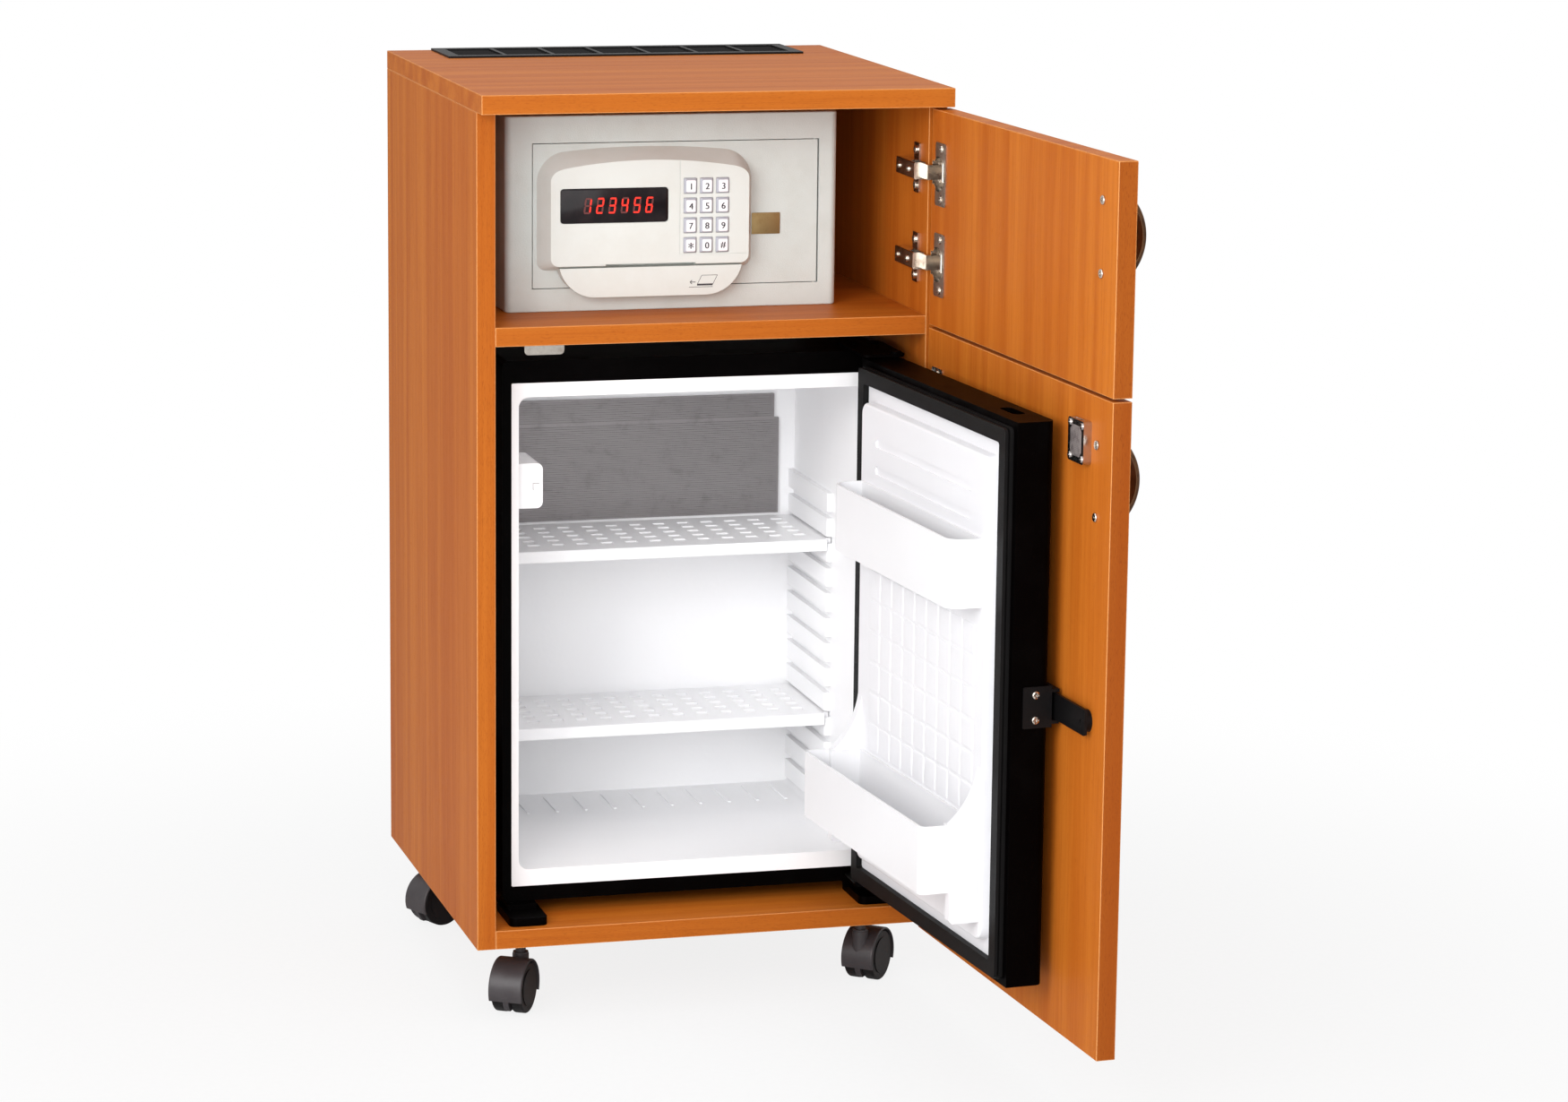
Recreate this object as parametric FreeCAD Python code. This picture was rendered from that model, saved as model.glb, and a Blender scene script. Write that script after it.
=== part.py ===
import FreeCAD, Part
import math
import os

os.makedirs("parts", exist_ok=True)

# Frame: x to the right, y to the back, z up. The middle of the cabinet is x = 0,
# the front edges of the side boards are y = 0 and the floor is z = 0.

UP = FreeCAD.Vector(0, 0, 1)
BACK = FreeCAD.Vector(0, 1, 0)
RIGHT = FreeCAD.Vector(1, 0, 0)

# General
overrun = 1.0
edge_soften = 0.6
small_round = 1.5
seat_gap = 0.1
pin_gap = 0.05
running_gap = 0.5
parallel_share = 0.999

# Cabinet boards
board = 18.0
cabinet_width = 455.0
cabinet_depth = 438.0
castor_height = 76.0
lower_clear = 564.0
upper_clear = 201.0
top_overhang = 24.0
thin_board = 8.0
rear_rail_height = 80.0

half_width = cabinet_width / 2
inner_half = half_width - board
floor_top = castor_height + board
shelf_bottom = floor_top + lower_clear
shelf_top = shelf_bottom + board
top_bottom = shelf_top + upper_clear
top_top = top_bottom + board

# Vent grille in the top board
grille_side = 44.5
grille_rear_edge = 2.0
grille_deep = 92.0
grille_lip = 8.0
grille_thick = 2.0
grille_sink = 10.0
grille_cells = 7
grille_bar = 4.0
louvre_count = 6
louvre_thick = 1.6
louvre_tilt = 40.0
louvre_depth = 9.0

grille_half = half_width - grille_side
grille_rear = cabinet_depth - grille_rear_edge
grille_front = grille_rear - grille_deep
shelf_depth = grille_front
partition_front = shelf_depth - thin_board

# Wooden doors
door_board = 18.0
door_gap = 2.5
door_side_reveal = 1.0
door_top_gap = 2.5
door_split_gap = 3.0
door_low_lap = 3.0
door_shelf_lap = 7.5
wood_open_angle = 93.2
wood_axis_in = 6.0
wood_axis_deep = 9.5

door_inner = -door_gap
door_outer = door_inner - door_board
door_half = half_width - door_side_reveal
upper_door_top = top_bottom - door_top_gap
lower_door_bottom = castor_height - door_low_lap
lower_door_top = shelf_bottom + door_shelf_lap
upper_door_bottom = lower_door_top + door_split_gap
wood_axis = (door_half - wood_axis_in, door_inner - wood_axis_deep)

# Concealed hinges: cup in the door, arm on the side board
cup_radius = 17.5
cup_in = 21.0
cup_wall = 0.8
cup_deep = 12.5
cup_box_half = 11.0
cup_box_in = 2.2
flange_half = 30.0
flange_near = 13.0
flange_far = 40.0
flange_thick = 1.2
hinge_pin_radius = 1.5
knuckle_radius = 2.5
knuckle_half = 9.0
neck_half_thick = 1.4
neck_half_tall = 7.0
neck_reach = 16.0
leg_thick = 3.5
arm_near = 2.0
arm_far = 60.0
arm_half_tall = 8.0
arm_high = 11.5
arm_wall = 1.6
wing_thick = 2.0
wing_half_tall = 24.0
wing_front = 24.0
wing_rear = 40.0
hinge_screw_out = 24.0
wing_screw_out = 17.0
hinge_end = 60.0
hinge_low_end = 65.0
arm_screw_radius = 3.4
arm_screw_high = 1.4

# Screws
screw_head_radius = 4.2
screw_head_high = 2.2
screw_radius = 2.0
screw_length = 8.0
recess_radius = 1.9
recess_deep = 1.2

# Bow handles, set in from the free edge of each door
handle_edge = 32.0
handle_half = 40.0
handle_end = 8.0
handle_rise = 20.0
handle_reach = 4.0
handle_wall = 4.0
handle_half_wide = 8.0
handle_foot_radius = 6.0
upper_handle_drop = 68.9
lower_handle_drop = 74.5

handle_x = -door_half + handle_edge
handle_screw_half = handle_half - handle_end
upper_handle_height = upper_door_top - upper_handle_drop
lower_handle_height = lower_door_top - lower_handle_drop

# Rim lock on the lower door
lock_edge = 45.5
lock_width = 36.0
lock_drop = 55.0
lock_high = 38.5
lock_deep = 7.8
lock_wall = 1.2
lock_corner = 3.0
bolt_half_wide = 9.0
bolt_thick = 2.0
bolt_tail = 26.0
bolt_window_half = 6.0
plug_radius = 6.0
plug_up = 19.0
barrel_wall = 2.4
plug_rim_radius = 11.0
plug_rim_thick = 2.0
key_slot_half = 0.8
key_slot_long = 4.0
key_slot_deep = 6.0
plug_cam_half = 3.5
lock_screw_head = 3.0
lock_screw_inset = 4.6

lock_x = -door_half + lock_edge + lock_width / 2
lock_bottom = shelf_bottom - lock_drop
plug_height = lock_bottom + plug_up

# Strike plate under the shelf
strike_half = 19.0
strike_drop = 8.5
strike_thick = 1.2
strike_leg = 14.0
strike_corner = 4.0

# Cooled casing
casing_side_gap = 17.5
casing_front = 52.0
casing_rear_gap = 66.0
foot_high = 14.0
casing_top_gap = 22.0
casing_wall = 1.2
casing_corner = 6.0
flange_edge = 9.0
flange_low = 14.6
flange_drop = 21.5
liner_wall = 2.0
cavity_edge = 16.0
cavity_low = 31.0
cavity_drop = 35.0
cavity_corner = 10.0
cavity_rear_gap = 36.0
rib_lead = 5.0
rib_deep = 6.0
rib_gap = 7.0
shelf_drop = 179.0
rib_steps = 7
ribs_above = 2
rib_round = 4.0

casing_half = inner_half - casing_side_gap
casing_rear = cabinet_depth - casing_rear_gap
casing_low = floor_top + foot_high
casing_top = shelf_bottom - casing_top_gap
flange_half_wide = casing_half - flange_edge
liner_front_low = casing_low + flange_low
liner_front_top = casing_top - flange_drop
cavity_half = casing_half - cavity_edge
cavity_bottom = casing_low + cavity_low
cavity_top = casing_top - cavity_drop
cavity_rear = casing_rear - cavity_rear_gap
rib_half = cavity_half - rib_deep
rib_pitch = shelf_drop / rib_steps

# Shelves in the cold space
upper_shelf_drop = 177.5
shelf_plate = 5.0
shelf_lip = 12.0
shelf_bin_gap = 81.0
shelf_rear_gap = 9.0
shelf_side_gap = 1.0
shelf_slot_wide = 12.0
shelf_slot_share = 0.3774
shelf_slot_columns = 13
shelf_slot_rows = 5
shelf_slot_margin = 20.0

upper_shelf_top = cavity_top - upper_shelf_drop
lower_shelf_top = upper_shelf_top - shelf_drop
shelf_rear = cavity_rear - shelf_rear_gap

# Floor ridges of the cold space
ridge_count = 11
ridge_wide = 3.0
ridge_high = 1.2
ridge_long = 60.0
ridge_rear_gap = 16.0

# Cold plate at the back
cold_side_gap = 18.0
cold_top_side_gap = 23.0
cold_shelf_gap = 1.5
cold_step = 25.0
cold_top_gap = 52.0
cold_base = 4.0
fin_pitch = 2.3
fin_deep = 1.4
fin_thick = 1.1

cold_wide_half = cavity_half - cold_side_gap
cold_top_half = cavity_half - cold_top_side_gap
cold_wide_low = upper_shelf_top + cold_shelf_gap
cold_top_top = cavity_top - cold_top_gap
cold_wide_top = cold_top_top - cold_step

# Thermostat box
thermo_wide = 26.0
thermo_front = 64.0
thermo_deep = 60.0
thermo_drop = 66.0
thermo_high = 43.5
thermo_corner = 6.0
thermo_wall = 2.0
button_half = 3.0
button_in = 6.4
button_up = 21.2
button_proud = 2.5
button_long = 10.0
button_gap = 0.3

thermo_right = -cavity_half + thermo_wide
thermo_rear = thermo_front + thermo_deep
thermo_top = cavity_top - thermo_drop
thermo_low = thermo_top - thermo_high
button_x = thermo_right - button_in
button_z = thermo_low + button_up

# Hinge plates and feet of the casing
cold_axis_in = 8.0
cold_axis_front = 13.0
cold_open_angle = 94.4
cold_pin_radius = 3.0
cold_pin_long = 9.0
bracket_wide = 42.0
bracket_front = 5.0
bracket_thick = 2.5
bracket_gap = 0.8
bracket_corner = 6.0
top_plate_rear = 96.0
foot_pad_high = 8.0
foot_in = 36.0
foot_out = 1.0
foot_front = 10.0
foot_rear = 78.0
foot_corner = 7.0
foot_post_front = 40.0
rear_foot_long = 38.0
rear_foot_gap = 4.0
bracket_screw_in = 32.0
bracket_screw_near = 10.0
bracket_screw_y = 74.0

cold_axis = (casing_half - cold_axis_in, cold_axis_front)
bracket_left = casing_half - bracket_wide
foot_left = casing_half - foot_in
foot_right = casing_half + foot_out
rear_foot_rear = casing_rear - rear_foot_gap
rear_foot_front = rear_foot_rear - rear_foot_long

# Cold door
slab_front = 8.0
slab_rear = 44.0
slab_low_gap = 9.0
slab_top_gap = 2.0
slab_round = 8.0
door_wall = 1.2
mouth_inset = 2.0
slab_boss_wall = 4.0
gasket_edge = 9.0
gasket_low_edge = 5.0
gasket_top_edge = 6.0
gasket_wide = 15.0
gasket_thick = 7.8
gasket_lip = 3.0
gasket_fit = 0.2
plinth_edge_side = 34.0
plinth_edge_low = 35.0
plinth_edge_top = 36.0
plinth_high = 13.0
plinth_corner = 12.0
plinth_edge = 2.5
sheet = 2.0
top_slot_in = 42.0
top_slot_long = 38.0
top_slot_front = 18.0
top_slot_rear = 30.0
top_slot_deep = 8.0
panel_bar_drop = 74.0
panel_bar_high = 8.0
panel_bar_deep = 1.5
panel_bar_in = 72.0
panel_bar_pitch = 26.0

slab_low = casing_low + slab_low_gap
slab_top = casing_top - slab_top_gap
gasket_half = casing_half - gasket_edge
gasket_low = slab_low + gasket_low_edge
gasket_top = slab_top - gasket_top_edge
plinth_half = casing_half - plinth_edge_side
plinth_low = slab_low + plinth_edge_low
plinth_top = slab_top - plinth_edge_top
top_slot_left = -casing_half + top_slot_in
top_slot_right = top_slot_left + top_slot_long
panel_bar_half = casing_half - panel_bar_in
panel_bar_low = slab_top - panel_bar_drop

# Door bins
bin_wall = 2.2
upper_bin_in = 42.0
upper_bin_drop = 174.0
upper_bin_high = 63.0
upper_bin_front = 90.0
upper_bin_round = 16.0
lower_bin_in = 39.0
lower_bin_up = 82.0
lower_bin_high = 63.0
lower_bin_front = 114.0
lower_bin_round = 7.0
wing_face = 86.0
wing_out_edge = 36.0
wing_in_edge = 46.0
wing_low_up = 53.0
wing_top_up = 218.0
wing_bend_y = 65.0
wing_bend_up = 171.0
bin_fit = 0.2

upper_bin_half = casing_half - upper_bin_in
upper_bin_low = slab_top - upper_bin_drop
lower_bin_half = casing_half - lower_bin_in
lower_bin_low = slab_low + lower_bin_up
wing_half_out = casing_half - wing_out_edge
wing_in = casing_half - wing_in_edge
wing_low = slab_low + wing_low_up
wing_top = slab_low + wing_top_up
wing_bend_z = slab_low + wing_bend_up
shelf_front = lower_bin_front + shelf_bin_gap
rib_front = shelf_front - rib_lead

# Follower between the two lower doors
strip_edge = 28.0
strip_long = 80.0
strip_half_high = 12.0
strip_thick = 2.5
puck_edge = 38.0
puck_radius = 10.0
puck_thick = 5.0
fork_wall = 1.5
fork_half_high = 19.0
fork_ear = 3.0
fork_ear_gap = 1.0
fork_lap = 28.0
fork_side_rear = 34.0
fork_front = -1.0
fork_flange = 2.0
fork_screw_half = 11.5
fork_screw_y = 22.0
fork_head_radius = 3.4
fork_head_high = 1.6

strip_height = (slab_low + slab_top) / 2

# Cooling unit on the back of the casing
unit_gap = 4.0
unit_tube = 6.0
pipe_bend = 12.0
coil_turns = 5
coil_in = 82.0
coil_pitch = 34.0
fin_rows = 36
rear_fin_drop = 136.0
rear_fin_high = 90.0
rear_fin_in = 62.0
rear_fin_thick = 1.0
rear_fin_deep = 34.0
boiler_radius = 18.0
boiler_in = 42.0
boiler_up = 82.0
boiler_high = 230.0
tank_radius = 18.0
tank_in = 102.0
tank_up = 42.0
inlet_in = 42.0
inlet_up = 82.0
inlet_half_wide = 26.0
inlet_half_high = 18.0
inlet_deep = 32.0
inlet_hollow_half_wide = 12.5
inlet_hollow_half_high = 9.5
inlet_hollow_deep = 16.0
blade_half_wide = 1.0
blade_half_high = 2.5
blade_long = 12.0
blade_pitch = 7.0
unit_bracket_wide = 14.0

coil_half = casing_half - coil_in
rear_fin_half = casing_half - rear_fin_in
rear_fin_low = casing_top - rear_fin_drop
boiler_x = casing_half - boiler_in
boiler_low = casing_low + boiler_up
tank_half = casing_half - tank_in
tank_z = casing_low + tank_up
inlet_x = -casing_half + inlet_in
inlet_z = casing_low + inlet_up

# Safe
safe_left_gap = 29.0
safe_right_gap = 63.5
safe_top_gap = 14.0
safe_front = 90.0
safe_rear_gap = 6.0
safe_wall = 4.0
safe_frame = 6.0
safe_round = 7.0
safe_door_in_left = 26.3
safe_door_in_right = 20.2
safe_door_up = 23.0
safe_door_drop = 26.5
safe_door_thick = 5.0
safe_gap = 0.8
safe_hinge_gap = 1.6
safe_axis_in = 2.3
safe_axis_deep = 2.5
safe_pin_radius = 1.2
safe_pin_long = 4.0
safe_box_in_left = 9.7
safe_box_in_right = 24.3
safe_box_up = 13.0
safe_box_drop = 12.5
safe_box_deep = 24.0
safe_box_wall = 1.5
safe_bolt_radius = 6.0
safe_bolt_up = 36.0
safe_bolt_drop = 36.5
safe_bolt_long = 46.0
safe_bolt_deep = 17.0
safe_bolt_in = 1.1
safe_bar_wide = 14.0
safe_bar_thick = 3.0

safe_left = -inner_half + safe_left_gap
safe_right = inner_half - safe_right_gap
safe_high = upper_clear - safe_top_gap
safe_rear = partition_front - safe_rear_gap
safe_door_left = safe_left + safe_door_in_left
safe_door_right = safe_right - safe_door_in_right
safe_door_low = shelf_top + safe_door_up
safe_door_top = shelf_top + safe_high - safe_door_drop
safe_axis = (safe_door_right - safe_axis_in, safe_front + safe_axis_deep)
safe_box_left = safe_door_left + safe_box_in_left
safe_box_right = safe_door_right - safe_box_in_right
safe_box_low = safe_door_low + safe_box_up
safe_box_top = safe_door_top - safe_box_drop
safe_bolt_heights = (safe_door_low + safe_bolt_up, safe_door_top - safe_bolt_drop)
safe_bolt_y = safe_front + safe_bolt_deep
safe_bolt_tip = safe_door_left + safe_bolt_in

# Control panel on the safe door
panel_stand = 20.0
panel_in_left = 3.7
panel_in_right = 65.8
panel_up = 17.0
panel_side_drop = 38.0
panel_crown_drop = 3.5
panel_shoulder_drop = 7.5
panel_run_share = 0.125
panel_corner = 9.0
face_in_left = 9.4
face_in_right = 7.3
face_up = 6.0
face_side_drop = 33.5
face_crown_drop = 14.5
face_shoulder_drop = 21.5
face_run_share = 0.075
face_corner = 8.0
lip_stand = 18.0
lip_in_left = 9.1
lip_in_right = 6.2
lip_drop = 2.4
lip_high = 28.1
lip_run_share = 0.1858
lip_back_gap = 1.0

panel_face = safe_front - panel_stand
panel_left = safe_door_left + panel_in_left
panel_right = safe_door_right - panel_in_right
panel_low = safe_door_low + panel_up
panel_side_top = safe_door_top - panel_side_drop
panel_crown = safe_door_top - panel_crown_drop
panel_shoulder_top = safe_door_top - panel_shoulder_drop
panel_shoulder_run = panel_run_share * (panel_right - panel_left)
face_left = panel_left + face_in_left
face_right = panel_right - face_in_right
face_low = panel_low + face_up
face_side_top = safe_door_top - face_side_drop
face_crown = safe_door_top - face_crown_drop
face_shoulder_top = safe_door_top - face_shoulder_drop
face_wide = face_right - face_left
face_high = face_crown - face_low
face_shoulder_run = face_run_share * face_wide
lip_face = safe_front - lip_stand
lip_left = face_left + lip_in_left
lip_right = face_right - lip_in_right
lip_top = face_low - lip_drop
lip_low = lip_top - lip_high
lip_run = lip_run_share * face_wide

# Display window, keys and card slot, placed by shares of the panel's face
window_left_share = 0.0464
window_right_share = 0.5903
window_low_share = 0.405
window_top_share = 0.74
window_deep = 1.2
window_corner = 3.0
pad_left_share = 0.6471
pad_low_share = 0.087
pad_groove = 0.7
pad_deep = 0.6
key_first_share = 0.7007
key_top_share = 0.745
key_pitch_x_share = 0.08204
key_pitch_z_share = 0.189
key_wide_share = 0.0645
key_high_share = 0.147
key_gap = 0.3
key_proud = 2.2
key_sunk = 3.0
key_pocket = 7.0
key_corner = 1.2
key_dish = 0.9
card_x_share = 0.5036
card_half_share = 0.227
card_gap = 1.2
card_deep = 14.0

window_left = face_left + window_left_share * face_wide
window_right = face_left + window_right_share * face_wide
window_low = face_low + window_low_share * face_high
window_top = face_low + window_top_share * face_high
pad_left = face_left + pad_left_share * face_wide
pad_low = face_low + pad_low_share * face_high
key_first_x = face_left + key_first_share * face_wide
key_top_z = face_low + key_top_share * face_high
key_pitch_x = key_pitch_x_share * face_wide
key_pitch_z = key_pitch_z_share * face_high
key_wide = key_wide_share * face_wide
key_high = key_high_share * face_high
card_x = face_left + card_x_share * face_wide
card_half = card_half_share * face_wide
bridge_lap = card_gap + small_round

# Castors
castor_front_in = 55.5
castor_rear_in = 51.5
castor_front_y = 61.0
castor_rear_gap = 60.0
castor_wheel_radius = 25.0
castor_wheel_in = 3.4
castor_wheel_out = 15.4
castor_trail = 19.0
hood_inner = 26.2
hood_wall = 1.9
hood_half = 16.8
hood_skirt = 16.0
web_half = 2.9
web_radius = 20.0
axle_radius = 3.0
stem_radius = 5.0
stem_boss = 8.0
stem_sunk = 13.0
stem_ring = 7.5
stem_ring_high = 3.0
tyre_round = 2.0
hub_radius = 18.0
hub_proud = 0.8

castor_front_x = half_width - castor_front_in
castor_rear_x = half_width - castor_rear_in
castor_rear_y = cabinet_depth - castor_rear_gap
front_left_angle = -122.0
front_right_angle = 49.5
rear_left_angle = 205.0
rear_right_angle = 100.0
castors = (
    ("front_left", -castor_front_x, castor_front_y, front_left_angle),
    ("front_right", castor_front_x, castor_front_y, front_right_angle),
    ("rear_left", -castor_rear_x, castor_rear_y, rear_left_angle),
    ("rear_right", castor_rear_x, castor_rear_y, rear_right_angle),
)


def vec(x, y, z):
    return FreeCAD.Vector(x, y, z)


def block(xs, ys, zs):
    size = (xs[1] - xs[0], ys[1] - ys[0], zs[1] - zs[0])
    return Part.makeBox(size[0], size[1], size[2], vec(xs[0], ys[0], zs[0]))


def disc(radius, centre, direction, length):
    return Part.makeCylinder(radius, length, centre, direction)


def edges_along(shape, axis):
    found = []
    for edge in shape.Edges:
        if len(edge.Vertexes) < 2:
            continue
        run = edge.Vertexes[-1].Point.sub(edge.Vertexes[0].Point)
        if run.Length > 0 and abs(run.normalize().dot(axis)) > parallel_share:
            found.append(edge)
    return found


def round_edges(shape):
    return [edge for edge in shape.Edges if "Circle" in str(edge.Curve)]


def rounded(shape, axis, radius):
    return shape.makeFillet(radius, edges_along(shape, axis))


def softened(shape, radius):
    return shape.makeFillet(radius, shape.Edges)


def fused(shapes):
    whole = shapes[0]
    if len(shapes) > 1:
        whole = whole.multiFuse(shapes[1:])
    return whole.removeSplitter()


def turned(shape, axis, degrees):
    copy = shape.copy()
    copy.rotate(vec(axis[0], axis[1], 0), UP, degrees)
    return copy


def save(name, shape):
    shape.exportStep("parts/" + name + ".step")


def board_block(xs, ys, zs):
    return softened(block(xs, ys, zs), edge_soften)


# Screws: a low round head with a cross recess and a short shank
def cross_recess(centre, direction):
    side = RIGHT
    if abs(direction.dot(UP)) < parallel_share:
        side = direction.cross(UP).normalize()
    other = direction.cross(side)
    start = centre.sub(direction * recess_deep)
    cuts = []
    for arm in (side, other):
        across = direction.cross(arm)
        half = recess_radius / 4
        corners = []
        for along, over in ((-1, -1), (1, -1), (1, 1), (-1, 1)):
            corners.append(start + arm * (along * recess_radius) + across * (over * half))
        corners.append(corners[0])
        face = Part.Face(Part.makePolygon(corners))
        cuts.append(face.extrude(direction * (recess_deep + overrun)))
    return cuts[0].fuse(cuts[1])


def screw(seat, direction, head_radius, head_high, length):
    head = disc(head_radius, seat, direction, head_high)
    top = []
    for edge in head.Edges:
        bounds = edge.BoundBox
        middle = vec(bounds.Center.x, bounds.Center.y, bounds.Center.z)
        if middle.sub(seat).dot(direction) > head_high * 0.9:
            top.append(edge)
    head = head.makeFillet(head_high * 0.45, top)
    shank = disc(screw_radius, seat, direction * -1, length)
    body = head.fuse(shank)
    return body.cut(cross_recess(seat + direction * head_high, direction)).removeSplitter()


def screw_hole(seat, direction, length):
    start = seat + direction * overrun
    return disc(screw_radius + seat_gap, start, direction * -1, length + overrun + seat_gap)


# Cabinet boards
def top_panel():
    xs = (-half_width, half_width)
    panel = board_block(xs, (-top_overhang, cabinet_depth), (top_bottom, top_top))
    hole = block(
        (-grille_half + grille_lip, grille_half - grille_lip),
        (grille_front + grille_lip, grille_rear - grille_lip),
        (top_bottom - overrun, top_top + overrun),
    )
    return panel.cut(hole)


def side_panel(side):
    xs = sorted((side * inner_half, side * half_width))
    panel = board_block(xs, (0, cabinet_depth), (castor_height, top_bottom))
    if side > 0:
        for z in hinge_heights():
            for out in (-wing_screw_out, wing_screw_out):
                seat = wing_screw_seat(z + out)
                panel = panel.cut(screw_hole(seat, RIGHT * -1, screw_length + wing_thick))
    return panel


def bottom_panel():
    xs = (-inner_half, inner_half)
    panel = board_block(xs, (0, cabinet_depth), (castor_height, floor_top))
    cuts = []
    for castor in castors:
        start = vec(castor[1], castor[2], castor_height - overrun)
        cuts.append(disc(stem_radius + seat_gap, start, UP, stem_sunk + overrun + seat_gap))
    return panel.cut(Part.makeCompound(cuts))


def middle_shelf():
    shelf = board_block((-inner_half, inner_half), (0, shelf_depth), (shelf_bottom, shelf_top))
    cuts = []
    for seat in strike_screw_seats():
        cuts.append(screw_hole(seat, UP * -1, screw_length))
    return shelf.cut(Part.makeCompound(cuts))


def rear_panels():
    xs = (-inner_half, inner_half)
    rear_face = cabinet_depth - thin_board
    upper = board_block(xs, (rear_face, cabinet_depth), (shelf_bottom, top_bottom))
    rail_zs = (floor_top, floor_top + rear_rail_height)
    rail = board_block(xs, (cabinet_depth - board, cabinet_depth), rail_zs)
    partition = board_block(xs, (partition_front, shelf_depth), (shelf_top, top_bottom))
    return Part.makeCompound([upper, rail, partition])


def louvre(xs, y, z):
    ys = (y - louvre_depth / 2, y + louvre_depth / 2)
    blade = block(xs, ys, (z - louvre_thick / 2, z + louvre_thick / 2))
    blade.rotate(vec(0, y, z), RIGHT, louvre_tilt)
    return blade


def vent_grille():
    zs = (top_top, top_top + grille_thick)
    outer = rounded(block((-grille_half, grille_half), (grille_front, grille_rear), zs), UP, small_round)
    neck_half = grille_half - grille_lip - seat_gap
    neck_front = grille_front + grille_lip + seat_gap
    neck_rear = grille_rear - grille_lip - seat_gap
    neck = block((-neck_half, neck_half), (neck_front, neck_rear), (top_top - grille_sink, top_top))
    body = outer.fuse(neck)
    span = 2 * neck_half - grille_bar
    pitch = span / grille_cells
    cuts = []
    blades = []
    for cell in range(grille_cells):
        left = -neck_half + grille_bar + cell * pitch
        right = left + pitch - grille_bar
        front = neck_front + grille_bar
        rear = neck_rear - grille_bar
        low = top_top - grille_sink - overrun
        cuts.append(block((left, right), (front, rear), (low, top_top + grille_thick + overrun)))
        step = (rear - front) / louvre_count
        for row in range(louvre_count):
            y = front + step * (row + 0.5)
            blades.append(louvre((left - seat_gap, right + seat_gap), y, top_top - louvre_depth / 3))
    return fused([body.cut(Part.makeCompound(cuts))] + blades)


# Concealed hinges
def hinge_heights():
    low_door_low = lower_door_bottom + hinge_low_end
    low_door_top = lower_door_top - hinge_low_end
    up_door_low = upper_door_bottom + hinge_end
    up_door_top = upper_door_top - hinge_end
    return (low_door_low, low_door_top, up_door_low, up_door_top)


def wing_screw_seat(z):
    return vec(inner_half - wing_thick, (wing_front + wing_rear) / 2, z)


def hinge_arm(z):
    x0, y0 = wood_axis
    parts = []
    wing_zs = (z - wing_half_tall, z + wing_half_tall)
    wing = block((inner_half - wing_thick, inner_half), (wing_front, wing_rear), wing_zs)
    parts.append(rounded(wing, RIGHT, small_round))
    high = inner_half - wing_thick - arm_high
    arm_zs = (z - arm_half_tall, z + arm_half_tall)
    arm = block((high, inner_half - wing_thick), (arm_near, arm_far), arm_zs)
    arm = rounded(arm, BACK, small_round)
    hollow = block(
        (high + arm_wall, inner_half - wing_thick - arm_wall),
        (arm_near + arm_wall, wing_front - arm_wall),
        (z - arm_half_tall - overrun, z + arm_half_tall + overrun),
    )
    parts.append(arm.cut(hollow))
    for y in (wing_front - wing_thick, arm_far - wing_thick * 4):
        head = disc(arm_screw_radius, vec(high, y, z), RIGHT * -1, arm_screw_high)
        parts.append(head.cut(cross_recess(vec(high - arm_screw_high, y, z), RIGHT * -1)))
    leg_left = x0 - neck_reach
    neck_zs = (z - neck_half_tall, z + neck_half_tall)
    leg_ys = (y0 - neck_half_thick, arm_near + arm_wall)
    leg = block((leg_left, leg_left + leg_thick), leg_ys, neck_zs)
    bar = block((leg_left, x0), (y0 - neck_half_thick, y0 + neck_half_thick), neck_zs)
    parts.append(leg)
    parts.append(bar)
    parts.append(disc(knuckle_radius, vec(x0, y0, z - knuckle_half), UP, 2 * knuckle_half))
    bore_start = vec(x0, y0, z - knuckle_half - overrun)
    bore = disc(hinge_pin_radius + pin_gap, bore_start, UP, 2 * (knuckle_half + overrun))
    body = fused(parts).cut(bore)
    for out in (-wing_screw_out, wing_screw_out):
        body = body.cut(screw_hole(wing_screw_seat(z + out), RIGHT * -1, wing_thick + overrun))
    return body


def hinge_arms():
    arms = []
    for z in hinge_heights():
        arms.append(hinge_arm(z))
        for out in (-wing_screw_out, wing_screw_out):
            seat = wing_screw_seat(z + out)
            body = screw(seat, RIGHT * -1, screw_head_radius, screw_head_high, screw_length)
            arms.append(body)
    return Part.makeCompound(arms)


def cup_body(z, grow, floor_depth):
    centre_x = door_half - cup_in
    start = vec(centre_x, door_inner - floor_depth, z)
    round_part = disc(cup_radius + grow, start, BACK, floor_depth)
    long_part = block(
        (centre_x, door_half - cup_box_in + grow),
        (door_inner - floor_depth, door_inner),
        (z - cup_box_half - grow, z + cup_box_half + grow),
    )
    return round_part.fuse(long_part).removeSplitter()


def cup_pocket(z):
    depth = cup_deep + cup_wall + seat_gap
    pocket = cup_body(z, seat_gap, depth)
    mouth = cup_body(z, seat_gap, depth)
    mouth.translate(vec(0, overrun, 0))
    return pocket.fuse(mouth)


def cup_screw_seats(z):
    x = door_half - (flange_near + flange_far) / 2
    face = door_inner + flange_thick
    return [vec(x, face, z - hinge_screw_out), vec(x, face, z + hinge_screw_out)]


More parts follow.
